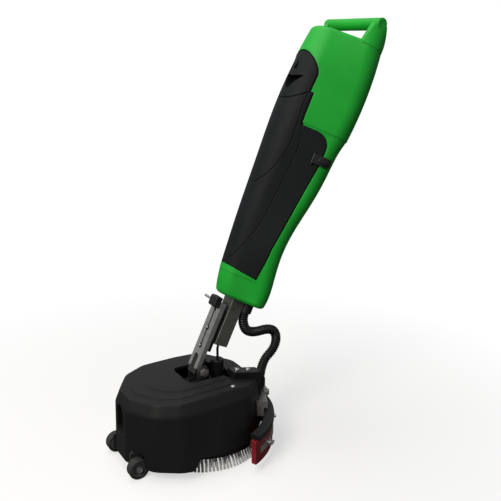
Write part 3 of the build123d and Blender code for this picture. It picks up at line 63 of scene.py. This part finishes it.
# Sizes of the forms made here, in millimetres
HOSE_BACK, HOSE_TOP, HOSE_MOUTH, HOSE_BEND = 55.4, 214, 178, 142  # behind the handle's axis and up along it
HOSE_STEPS = ((17, -40), (95, -36), (103, -89), (51, -127.3), (51, -191.3))  # back and up from the bend
HOSE_GROOVE, HOSE_RIB, RIB_EASE = 1.9, 5.2, 0.3
NECK_TOP, NECK_FOOT, NECK_RADIUS = 52.5, 31.8, 10.6  # narrower ends, in and beside the cuff and the pipe
LEAD_X, LEAD_BACK, LEAD_TOP = 6, 22, 80  # sideways, behind the handle's axis and up along it
LEAD_SLACK, LEAD_BEND, LEAD_FOOT = (1, -7, -14), (3, 42, 224), (3, 42, 208)  # a step, then two places
SHEATH_RADIUS, SHEATH_RIB, SHEATH_GROOVE, SHEATH_LOW, SHEATH_HIGH = 4.2, 3.0, 0.5, 72.0, 132.0
STUD_HEIGHTS, STUD_END = (101.0, 55.0), -19.5  # up along the handle's axis, and in front of it
OUTER_PITCH = 7.6  # the outer ring of tufts is drawn fuller than the part's
OUTER_STRANDS, INNER_STRANDS = 24, 9
FILAMENT_ROOT, FILAMENT_TIP = 0.58, 0.48  # radii
ROOT_SINK, FLARE_LESS = 1, 2  # into the backing, and less outward lean than the part's tufts
TIP_LOWEST, TIP_SCATTER = 0.25, 1.2  # above the floor

# Studio sizes, in metres
FLOOR_SIZE, GLOW_NEAR, GLOW_FAR, FURTHEST_SEEN = 12, 0.35, 1.1, 50.0
CAMERA_PLACE = (1.398, -0.7102, 0.948)

# The camera's angles in degrees: down from level, and round from looking along Y
CAMERA_DROP, CAMERA_TURN = 16.49, 58.8
# Share of the floor's white that is its own beside the object; further off all of it is
FLOOR_GLOW = 0.6
# How bright the surround is as light and in reflections, where 1 is white
SURROUND_LIGHT, SURROUND_MIRRORED = 0.1, 0.5
# The photograph's width and the focal length that fits it, in pixels
PHOTO_WIDTH, PHOTO_FOCAL = 501.0, 718.0
SENSOR_WIDTH = 36.0


def leaned(x, back, along):
    """Point given square to the leaning handle, in metres: sideways, behind its axis and up along it."""
    y = PIVOT_Y + back * math.cos(LEAN) + along * math.sin(LEAN)
    z = PIVOT_Z - back * math.sin(LEAN) + along * math.cos(LEAN)
    return Vector((x, y, z)) * MM


# Materials


def linear(hex_colour):
    """Linear colour of an sRGB hex value."""
    parts = [int(hex_colour[i:i + 2], 16) / 255 for i in (1, 3, 5)]
    return [p / 12.92 if p <= 0.04045 else ((p + 0.055) / 1.055) ** 2.4 for p in parts] + [1.0]


def add(tree, kind, links=(), **settings):
    """Adds a node with its settings, and sets or links its inputs."""
    made = tree.nodes.new(kind)
    for key, value in settings.items():
        setattr(made, key, value)
    for key, value in dict(links).items():
        if isinstance(value, bpy.types.NodeSocket):
            tree.links.new(value, made.inputs[key])
        else:
            made.inputs[key].default_value = value
    return made


def mix_colours(tree, share, first, second):
    """The colour that is this share of the way from the first to the second."""
    return add(tree, "ShaderNodeMix", {0: share, 6: first, 7: second}, data_type="RGBA").outputs[2]


def finish_named(name):
    """A new material's empty tree with its object coordinates."""
    material = bpy.data.materials.new(name)
    material.use_nodes = True
    material.node_tree.nodes.clear()
    place = add(material.node_tree, "ShaderNodeTexCoord").outputs["Object"]
    return material, material.node_tree, place


def per_mm(size):
    """Texture scale whose features are about this many millimetres."""
    return 1000.0 / size


def moulded(name, colour, pale, roughness, grain, height, wear=0.3, coat=0.0, gloss=0.5, soft=2.2):
    """Moulded plastic: grained skin, faint mottling, scuffs and edges rubbed paler."""
    material, tree, place = finish_named(name)
    mottle = add(tree, "ShaderNodeTexNoise", {"Vector": place, "Scale": per_mm(60), "Detail": 4.0})
    skin = add(tree, "ShaderNodeTexNoise", {
        "Vector": place, "Scale": per_mm(grain), "Detail": 3.0, "Roughness": 0.6})
    scuff_place = add(tree, "ShaderNodeMapping", {
        "Vector": place, "Rotation": (0.4, 0.2, 0.7), "Scale": (1.0, 9.0, 1.0)})
    scuff = add(tree, "ShaderNodeTexNoise", {
        "Vector": scuff_place.outputs[0], "Scale": per_mm(45), "Detail": 8.0})
    scuffed = add(tree, "ShaderNodeMapRange", {0: scuff.outputs[0], 1: 0.66, 2: 0.85, 3: 0.0, 4: 0.12})
    rounded = add(tree, "ShaderNodeBevel", {"Radius": soft * MM}, samples=4)
    faced = add(tree, "ShaderNodeNewGeometry")
    turn = add(tree, "ShaderNodeVectorMath", {0: rounded.outputs[0], 1: faced.outputs["Normal"]},
               operation="DOT_PRODUCT")
    edge = add(tree, "ShaderNodeMapRange", {0: turn.outputs["Value"], 1: 0.99, 2: 0.86, 3: 0.0, 4: wear})
    rubbed = add(tree, "ShaderNodeMath", {0: edge.outputs[0], 1: mottle.outputs[0]}, operation="MULTIPLY")
    paler = add(tree, "ShaderNodeMath", {0: rubbed.outputs[0], 1: scuffed.outputs[0]}, operation="MAXIMUM")
    body = add(tree, "ShaderNodeValToRGB", {0: mottle.outputs[0]})
    body.color_ramp.elements[0].position = 0.3
    body.color_ramp.elements[0].color = [c * 0.86 for c in linear(colour)[:3]] + [1.0]
    body.color_ramp.elements[1].position = 0.7
    body.color_ramp.elements[1].color = linear(colour)
    tint = mix_colours(tree, paler.outputs[0], body.outputs[0], linear(pale))
    dull = add(tree, "ShaderNodeMapRange", {
        0: skin.outputs[0], 1: 0.3, 2: 0.7, 3: roughness - 0.06, 4: roughness + 0.08})
    bump = add(tree, "ShaderNodeBump", {
        "Height": skin.outputs[0], "Strength": 0.5, "Distance": height * MM, "Normal": rounded.outputs[0]})
    shader = add(tree, "ShaderNodeBsdfPrincipled", {
        "Base Color": tint, "Roughness": dull.outputs[0], "Normal": bump.outputs[0],
        "IOR": 1.5, "Specular IOR Level": gloss, "Coat Weight": coat, "Coat Roughness": 0.35})
    add(tree, "ShaderNodeOutputMaterial", {0: shader.outputs[0]})
    return material


def plated(name, colour, dark, roughness, streak):
    """Plated or bare steel: fine drawn streaks, a cloudy passivated film and small dull spots."""
    material, tree, place = finish_named(name)
    drawn = add(tree, "ShaderNodeMapping", {"Vector": place, "Scale": (1.0, 1.0, 0.06)})
    lines = add(tree, "ShaderNodeTexNoise", {
        "Vector": drawn.outputs[0], "Scale": per_mm(streak), "Detail": 5.0})
    cloud = add(tree, "ShaderNodeTexNoise", {
        "Vector": place, "Scale": per_mm(26), "Detail": 5.0, "Roughness": 0.65})
    spots = add(tree, "ShaderNodeTexVoronoi", {"Vector": place, "Scale": per_mm(9)})
    film = add(tree, "ShaderNodeMapRange", {0: cloud.outputs[0], 1: 0.38, 2: 0.72})
    tint = mix_colours(tree, film.outputs[0], linear(colour), linear(dark))
    dull = add(tree, "ShaderNodeMapRange", {
        0: spots.outputs["Distance"], 1: 0.0, 2: 0.7, 3: roughness + 0.12, 4: roughness})
    filmed = add(tree, "ShaderNodeMapRange", {0: film.outputs[0], 3: 0.95, 4: 0.6})
    bump = add(tree, "ShaderNodeBump", {"Height": lines.outputs[0], "Strength": 0.25, "Distance": 0.15 * MM})
    shader = add(tree, "ShaderNodeBsdfPrincipled", {
        "Base Color": tint, "Metallic": filmed.outputs[0], "Roughness": dull.outputs[0],
        "Normal": bump.outputs[0]})
    add(tree, "ShaderNodeOutputMaterial", {0: shader.outputs[0]})
    return material


def powder_coat(name, colour, roughness):
    """Powder coat: orange-peel skin with faint patches of dust."""
    material, tree, place = finish_named(name)
    peel = add(tree, "ShaderNodeTexNoise", {"Vector": place, "Scale": per_mm(2.4), "Detail": 2.0})
    dust = add(tree, "ShaderNodeTexNoise", {"Vector": place, "Scale": per_mm(34), "Detail": 6.0})
    dusty = add(tree, "ShaderNodeMapRange", {0: dust.outputs[0], 1: 0.5, 2: 0.8, 3: 0.0, 4: 0.3})
    tint = mix_colours(tree, dusty.outputs[0], linear(colour), linear("#5c5b58"))
    bump = add(tree, "ShaderNodeBump", {"Height": peel.outputs[0], "Strength": 0.4, "Distance": 0.3 * MM})
    shader = add(tree, "ShaderNodeBsdfPrincipled", {
        "Base Color": tint, "Roughness": roughness, "Normal": bump.outputs[0], "IOR": 1.5})
    add(tree, "ShaderNodeOutputMaterial", {0: shader.outputs[0]})
    return material


def rubber(name, colour, dust_colour, roughness, bloom):
    """Rubber: dull skin with fine specks and a pale bloom of dust."""
    material, tree, place = finish_named(name)
    specks = add(tree, "ShaderNodeTexNoise", {"Vector": place, "Scale": per_mm(1.8), "Detail": 3.0})
    dust = add(tree, "ShaderNodeTexNoise", {
        "Vector": place, "Scale": per_mm(22), "Detail": 6.0, "Roughness": 0.6})
    dusty = add(tree, "ShaderNodeMapRange", {0: dust.outputs[0], 1: 0.42, 2: 0.78, 3: 0.0, 4: bloom})
    tint = mix_colours(tree, dusty.outputs[0], linear(colour), linear(dust_colour))
    dull = add(tree, "ShaderNodeMapRange", {
        0: specks.outputs[0], 1: 0.3, 2: 0.7, 3: roughness - 0.05, 4: roughness + 0.1})
    bump = add(tree, "ShaderNodeBump", {"Height": specks.outputs[0], "Strength": 0.3, "Distance": 0.2 * MM})
    shader = add(tree, "ShaderNodeBsdfPrincipled", {
        "Base Color": tint, "Roughness": dull.outputs[0], "Normal": bump.outputs[0],
        "IOR": 1.52, "Specular IOR Level": 0.28})
    add(tree, "ShaderNodeOutputMaterial", {0: shader.outputs[0]})
    return material


def nylon_filament():
    """Nylon bristle: milky filament, each one a little lighter or darker, soiled towards the floor."""
    material, tree, place = finish_named("nylon_filament")
    strand = add(tree, "ShaderNodeTexNoise", {"Vector": place, "Scale": per_mm(5), "Detail": 1.0})
    height = add(tree, "ShaderNodeSeparateXYZ", {0: place})
    soiled = add(tree, "ShaderNodeMapRange", {0: height.outputs["Z"], 1: 12 * MM, 2: 0.0, 3: 0.0, 4: 0.35})
    milky = mix_colours(tree, strand.outputs[0], linear("#d2d1cc"), linear("#ffffff"))
    tint = mix_colours(tree, soiled.outputs[0], milky, linear("#a9a69e"))
    shader = add(tree, "ShaderNodeBsdfPrincipled", {
        "Base Color": tint, "Roughness": 0.38, "IOR": 1.53, "Transmission Weight": 0.08})
    add(tree, "ShaderNodeOutputMaterial", {0: shader.outputs[0]})
    return material


# Polypropylene, grained and matt: a soft grey sheen on top and near black on the sides
cover_polypropylene = moulded("moulded_polypropylene", "#141415", "#4a4a4b", 0.52, 2.6, 0.5, gloss=0.2)
# Rotationally moulded polyethylene: a strong waxy green with a soft broad gloss
green_polyethylene = moulded("rotomoulded_polyethylene", "#1aa431", "#6cc878", 0.46, 1.6, 0.18, 0.25,
                             gloss=0.25, soft=1.2)
# Blow moulded polyethylene: charcoal skin with a slight waxy sheen
tank_polyethylene = moulded("blow_moulded_polyethylene", "#16181a", "#505254", 0.6, 1.5, 0.28, gloss=0.12)
# Glass-filled nylon: harder, finer and blacker than the big mouldings
black_nylon = moulded("glass_filled_nylon", "#101011", "#444444", 0.45, 0.9, 0.2, gloss=0.3)
hub_nylon = moulded("grey_nylon", "#4a4b4d", "#8a8a8a", 0.45, 0.9, 0.2)
brush_back_plastic = moulded("structural_polypropylene", "#2a2a2c", "#5a5a5a", 0.5, 1.1, 0.3)
red_abs = moulded("red_abs", "#a81818", "#d86a60", 0.3, 1.0, 0.08, 0.3, 0.3)
green_abs = moulded("green_abs", "#1f8a2f", "#7fcf86", 0.3, 1.0, 0.08, 0.3, 0.3)
# Zinc plated steel: pale grey, cloudy, with drawn streaks
zinc_steel = plated("zinc_plated_steel", "#b2b3b1", "#7d7f7f", 0.36, 1.2)
# Hot-dip galvanised steel: dull warm grey beside the brighter plated rail
galvanised_steel = plated("galvanised_steel", "#74746f", "#585954", 0.46, 1.6)
# Polished stainless steel: bright screws, pins and rods
bright_steel = plated("polished_stainless_steel", "#d2d2d0", "#9c9c9b", 0.2, 0.8)
black_powder = powder_coat("black_powder_coat", "#131314", 0.48)
motor_enamel = powder_coat("motor_enamel", "#2b2c2f", 0.35)
# Polyurethane sheet: strong dark red under a thin bloom of dust
red_polyurethane = rubber("red_polyurethane", "#861521", "#a8555c", 0.42, 0.25)
grey_tyre_rubber = rubber("grey_tyre_rubber", "#29292b", "#5c5b57", 0.6, 0.35)
# Plasticised vinyl: black with a low gloss
black_vinyl = rubber("black_vinyl_hose", "#080809", "#2c2b2e", 0.42, 0.1)
bristle_nylon = nylon_filament()

FINISHES = {
    "cover_black": cover_polypropylene, "body_green": green_polyethylene, "tank_black": tank_polyethylene,
    "trim_black": black_nylon, "blade_red": red_polyurethane, "bristle_white": bristle_nylon,
    "brush_back": brush_back_plastic, "tyre_grey": grey_tyre_rubber, "hub_grey": hub_nylon,
    "zinc": zinc_steel, "steel_bright": bright_steel, "chassis_paint": black_powder,
    "motor_can": motor_enamel, "cord_black": black_vinyl, "button_red": red_abs,
}
for entry in frame["record"]["subparts"]:
    solid = frame["nodes"][entry["node"]]
    solid.data.materials.clear()
    solid.data.materials.append(FINISHES[entry["material_slot"]])
frame["nodes"]["brush_button"].data.materials[0] = green_abs
frame["nodes"]["handle_tube"].data.materials[0] = galvanised_steel


# Pieces


def piece(name, shape, material, body=None, stands_for=()):
    """Object made from a finished bmesh, with its finish, its body and the solids that it stands for."""
    mesh = bpy.data.meshes.new(name)
    shape.to_mesh(mesh)
    shape.free()
    made = bpy.data.objects.new(name, mesh)
    bpy.context.scene.collection.objects.link(made)
    mesh.materials.append(material)
    if body:
        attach(made, body)
    if stands_for:
        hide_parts(*stands_for)
    return made


def smooth_line(name, points):
    """Points along the smooth spline whose control points are the route's corners."""
    curve = bpy.data.curves.new(name, "CURVE")
    curve.dimensions = "3D"
    curve.resolution_u = 32
    spline = curve.splines.new("NURBS")
    spline.points.add(len(points) - 1)
    for control, point in zip(spline.points, points):
        control.co = (*point, 1.0)
    spline.order_u = 3
    spline.use_endpoint_u = True
    holder = bpy.data.objects.new(name, curve)
    traced = bpy.data.meshes.new_from_object(holder)
    line = [vertex.co.copy() for vertex in traced.vertices]
    bpy.data.objects.remove(holder)
    bpy.data.curves.remove(curve)
    bpy.data.meshes.remove(traced)
    return line


def line_length(line):
    """Length of a line of points."""
    return sum((b - a).length for a, b in zip(line, line[1:]))


def bend_along(shape, line):
    """Bends an upright tube so that its height runs along a line that stays square to X."""
    runs = [0.0]
    for a, b in zip(line, line[1:]):
        runs.append(runs[-1] + (b - a).length)
    for vertex in shape.verts:
        height = min(max(vertex.co.z, 0.0), runs[-1])
        index = 0
        while index < len(runs) - 2 and runs[index + 1] < height:
            index += 1
        share = (height - runs[index]) / (runs[index + 1] - runs[index])
        before = line[max(index - 1, 0)]
        after = line[min(index + 2, len(line) - 1)]
        ahead = (line[index + 1] - line[index]).lerp(after - before, 0.5).normalized()
        side = (Vector((1, 0, 0)) - ahead * ahead.x).normalized()
        centre = line[index].lerp(line[index + 1], share)
        vertex.co = centre + side * vertex.co.x + ahead.cross(side) * vertex.co.y


def turned(profile, sides):
    """Tube made by turning a profile of (radius, height) about Z."""
    shape = bmesh.new()
    corners = [shape.verts.new((radius, 0, height)) for radius, height in profile]
    edges = [shape.edges.new(pair) for pair in zip(corners, corners[1:])]
    bmesh.ops.spin(shape, geom=corners + edges, axis=UP, cent=(0, 0, 0), angle=2 * math.pi, steps=sides,
                   use_merge=True)
    bmesh.ops.remove_doubles(shape, verts=shape.verts, dist=1e-6)
    ends = [edge for edge in shape.edges if edge.is_boundary]
    bmesh.ops.holes_fill(shape, edges=ends, sides=0)
    bmesh.ops.recalc_face_normals(shape, faces=shape.faces)
    return shape


def suction_hose():
    """Ribbed hose from inside the cuff on the handle's foot to inside the squeegee's pipe."""
    top = leaned(HOSE_X, HOSE_BACK, HOSE_TOP)
    mouth = leaned(HOSE_X, HOSE_BACK, HOSE_MOUTH)
    bend = leaned(HOSE_X, HOSE_BACK, HOSE_BEND)
    route = [top, mouth, bend] + [bend + Vector((0, back, rise)) * MM for back, rise in HOSE_STEPS]
    line = smooth_line("hose_line", route)
    length = line_length(line)
    count = round(length / (HOSE_RIB * MM))
    crest = HOSE_RADIUS * MM
    valley = crest - HOSE_GROOVE * MM
    pitch = length / count
    profile = []
    for rib in range(count):
        hidden = (rib + 1) * pitch < NECK_TOP * MM or rib * pitch > length - NECK_FOOT * MM
        peak = NECK_RADIUS * MM if hidden else crest
        eased = peak - RIB_EASE * MM
        for share, radius in ((0.0, valley), (0.18, valley), (0.32, eased), (0.5, peak), (0.68, eased),
                              (0.82, valley)):
            profile.append((radius, (rib + share) * pitch))
    profile.append((valley, length))
    shape = turned(profile, 26)
    bend_along(shape, line)
    bmesh.ops.recalc_face_normals(shape, faces=shape.faces)
    for face in shape.faces:
        face.smooth = True
    hose = piece("ribbed_suction_hose", shape, black_vinyl)
    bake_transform(hose)
    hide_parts("suction_hose")


def motor_cable():
    """Short lead from the tube's open foot down into the terminal cap."""
    top = leaned(LEAD_X, LEAD_BACK, LEAD_TOP)
    route = [top, top + Vector(LEAD_SLACK) * MM, Vector(LEAD_BEND) * MM, Vector(LEAD_FOOT) * MM]
    line = smooth_line("cable_line", route)
    length = line_length(line)
    shape = turned([(CABLE_RADIUS * MM, length * step / 24) for step in range(25)], 16)
    bend_along(shape, line)
    bmesh.ops.recalc_face_normals(shape, faces=shape.faces)
    for face in shape.faces:
        face.smooth = True
    cable = piece("motor_lead", shape, black_vinyl)
    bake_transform(cable)
    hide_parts("motor_cable")


def cable_sheath():
    """Ribbed sheath on the lead's upper end, long enough to stay inside the handle tube as that slides up."""
    low = leaned(LEAD_X, LEAD_BACK, SHEATH_LOW)
    high = leaned(LEAD_X, LEAD_BACK, SHEATH_HIGH)
    length = (high - low).length
    count = round(length / (SHEATH_RIB * MM))
    crest = SHEATH_RADIUS * MM
    valley = crest - SHEATH_GROOVE * MM
    profile = []
    for rib in range(count):
        for share, radius in ((0.0, valley), (0.25, valley), (0.4, crest), (0.85, crest)):
            profile.append((radius, (rib + share) * length / count))
    profile.append((valley, length))
    shape = turned(profile, 20)
    bend_along(shape, [low.lerp(high, step / 4) for step in range(5)])
    bmesh.ops.recalc_face_normals(shape, faces=shape.faces)
    piece("lead_sheath", shape, black_vinyl, "mast")


def on_studs(profile, sides):
    """A turned shape set on the end of each of the slide's two studs, facing out of the rail."""
    outward = (leaned(0, -1, 0) - leaned(0, 0, 0)).normalized()
    aim = outward.to_track_quat("Z", "Y").to_matrix().to_4x4()
    both = bmesh.new()
    for height in STUD_HEIGHTS:
        shape = turned([(radius * MM, rise * MM) for radius, rise in profile], sides)
        place = Matrix.Translation(leaned(0, STUD_END, height))
        bmesh.ops.transform(shape, matrix=place @ aim, verts=shape.verts)
        joined = bpy.data.meshes.new("stud")
        shape.to_mesh(joined)
        shape.free()
        both.from_mesh(joined)
        bpy.data.meshes.remove(joined)
    return both


def stud_screws_and_shade_washers():
    """Black washer and bright socket screw on each stud, seen as a dark ring with a bright middle; the black
    washer is painted shade for the dark inside of the keyhole.
    """
    # The black washer is painted shade: it fills each keyhole with the dark that its inside shows.
    shade_washer = on_studs([(5.2, 0.9), (5.6, 1.2), (5.6, 1.7), (5.2, 2.0)], 28)
    piece("stud_washers", shade_washer, black_nylon, "handle")
    shank = [(2.0, 0.0), (2.0, 2.0)]
    head = [(3.3, 2.0), (3.5, 2.3), (3.4, 3.6), (2.8, 4.5), (1.8, 4.7), (1.6, 3.2)]
    screw = on_studs(shank + head, 24)
    piece("stud_screws", screw, bright_steel, "handle")


def brush_bristles():
    """Rings of splayed tufts, each a bundle of fine three-sided filaments, under their slice of backing."""
    chance = random.Random(7)
    shape = bmesh.new()
    inner, outer = HUB_RADIUS * MM, BLOCK_RADIUS * MM
    low, high = BRISTLE_LENGTH * MM, (BRISTLE_LENGTH + BACKING_SLICE) * MM
    backing = turned([(inner, low), (outer, low), (outer, high), (inner, high), (inner, low)], 96)
    whole = bpy.data.meshes.new("backing")
    backing.to_mesh(whole)
    backing.free()
    shape.from_mesh(whole)
    bpy.data.meshes.remove(whole)
    for ring in range(TUFT_RINGS):
        radius = BLOCK_RADIUS - TUFT_SIZE - ring * TUFT_RING_PITCH
        count = int(2 * math.pi * radius / (OUTER_PITCH if ring == 0 else TUFT_PITCH))
        flare = BRISTLE_FLARE * (1 - ring / TUFT_RINGS)
        strands = OUTER_STRANDS if ring == 0 else INNER_STRANDS
        for step in range(count):
            angle = (step + 0.5 * (ring % 2)) * 2 * math.pi / count
            turn = Matrix.Rotation(angle, 3, "Z")
            for strand in range(strands):
                spread = 2 * math.pi * strand / strands
                reach = TUFT_SIZE * 0.5 * math.sqrt(chance.random())
                gather = reach * 0.7
                splay = reach * 1.1
                out, across = gather * math.cos(spread), gather * math.sin(spread)
                top = Vector((radius + out, across, BRISTLE_LENGTH + ROOT_SINK))
                reached = radius + flare - FLARE_LESS
                foot = Vector((reached + splay * math.cos(spread), splay * math.sin(spread), TIP_LOWEST))
                foot.z += TIP_SCATTER * chance.random()
                axis = foot - top
                place = Matrix.Translation(turn @ (top + axis / 2) * MM)
                aim = (turn @ axis).to_track_quat("Z", "Y").to_matrix().to_4x4()
                bmesh.ops.create_cone(shape, cap_ends=True, segments=3, radius1=FILAMENT_ROOT * MM,
                                      radius2=FILAMENT_TIP * MM, depth=axis.length * MM, matrix=place @ aim)
    piece("brush_bristles", shape, bristle_nylon, "brush", ["bristles"])


suction_hose()
motor_cable()
cable_sheath()
stud_screws_and_shade_washers()
brush_bristles()


# Studio


def studio_light(name, place, aim, size, power, colour):
    """Soft square lamp aimed at a point."""
    lamp = bpy.data.lights.new(name, "AREA")
    lamp.size = size
    lamp.energy = power
    lamp.color = linear(colour)[:3]
    holder = bpy.data.objects.new(name, lamp)
    holder.location = place
    holder.rotation_euler = (Vector(aim) - Vector(place)).to_track_quat("-Z", "Y").to_euler()
    bpy.context.scene.collection.objects.link(holder)


def studio_floor():
    """Pale floor that fades to white for the camera and keeps a soft shadow."""
    shape = bmesh.new()
    bmesh.ops.create_grid(shape, x_segments=1, y_segments=1, size=FLOOR_SIZE)
    floor = piece("studio_floor", shape, pale_floor())


def pale_floor():
    """Pale matt sheet, white to the camera apart from its shadow, and dim in what it throws back."""
    material, tree, place = finish_named("pale_studio_sheet")
    tooth = add(tree, "ShaderNodeTexNoise", {"Vector": place, "Scale": per_mm(400), "Detail": 2.0})
    pale = mix_colours(tree, tooth.outputs[0], linear("#f2f2f2"), linear("#f6f6f5"))
    path = add(tree, "ShaderNodeLightPath")
    seen = path.outputs["Is Camera Ray"]
    tint = mix_colours(tree, seen, linear("#6a6a6a"), pale)
    sheet = add(tree, "ShaderNodeBsdfDiffuse", {"Color": tint})
    glow = add(tree, "ShaderNodeEmission", {"Color": (1, 1, 1, 1), "Strength": 1.0})
    away = add(tree, "ShaderNodeVectorMath", {0: place}, operation="LENGTH")
    own = add(tree, "ShaderNodeMapRange", {
        0: away.outputs["Value"], 1: GLOW_NEAR, 2: GLOW_FAR, 3: FLOOR_GLOW, 4: 1.0})
    share = add(tree, "ShaderNodeMath", {0: seen, 1: own.outputs[0]}, operation="MULTIPLY")
    mixed = add(tree, "ShaderNodeMixShader", {0: share.outputs[0], 1: sheet.outputs[0], 2: glow.outputs[0]})
    add(tree, "ShaderNodeOutputMaterial", {0: mixed.outputs[0]})
    return material


def studio_world():
    """Dim surround that shows white to the camera and half bright in reflections, as in a dark studio."""
    world = bpy.data.worlds.new("studio")
    world.use_nodes = True
    tree = world.node_tree
    tree.nodes.clear()
    path = add(tree, "ShaderNodeLightPath")
    mirrored = add(tree, "ShaderNodeMapRange", {
        0: path.outputs["Is Glossy Ray"], 3: SURROUND_LIGHT, 4: SURROUND_MIRRORED})
    seen = add(tree, "ShaderNodeMath", {
        0: path.outputs["Is Camera Ray"], 1: path.outputs["Is Transmission Ray"]}, operation="MAXIMUM")
    strength = add(tree, "ShaderNodeMath", {0: seen.outputs[0], 1: mirrored.outputs[0]}, operation="MAXIMUM")
    surround = add(tree, "ShaderNodeBackground", {"Color": (1, 1, 1, 1), "Strength": strength.outputs[0]})
    add(tree, "ShaderNodeOutputWorld", {0: surround.outputs[0]})
    bpy.context.scene.world = world


def camera():
    """Camera at the photograph's place, before the machine's front corner and looking down a little."""
    lens = bpy.data.cameras.new("photo_camera")
    lens.sensor_width = SENSOR_WIDTH
    lens.lens = PHOTO_FOCAL / PHOTO_WIDTH * SENSOR_WIDTH
    lens.clip_end = FURTHEST_SEEN
    holder = bpy.data.objects.new("photo_camera", lens)
    holder.location = CAMERA_PLACE
    holder.rotation_euler = (math.radians(90 - CAMERA_DROP), 0, math.radians(CAMERA_TURN))
    bpy.context.scene.collection.objects.link(holder)
    bpy.context.scene.camera = holder


studio_floor()
studio_world()
studio_light("key", (1.1, -2.1, 2.4), (0, 0.1, 0.4), 1.4, 82, "#fffaf2")
studio_light("top", (-0.5, -0.2, 2.9), (0, 0.0, 0.3), 1.8, 38, "#ffffff")
studio_light("fill", (2.6, 1.0, 1.2), (0, 0.1, 0.5), 1.8, 2.5, "#f4f8ff")
camera()
bpy.context.scene.view_settings.view_transform = "Standard"
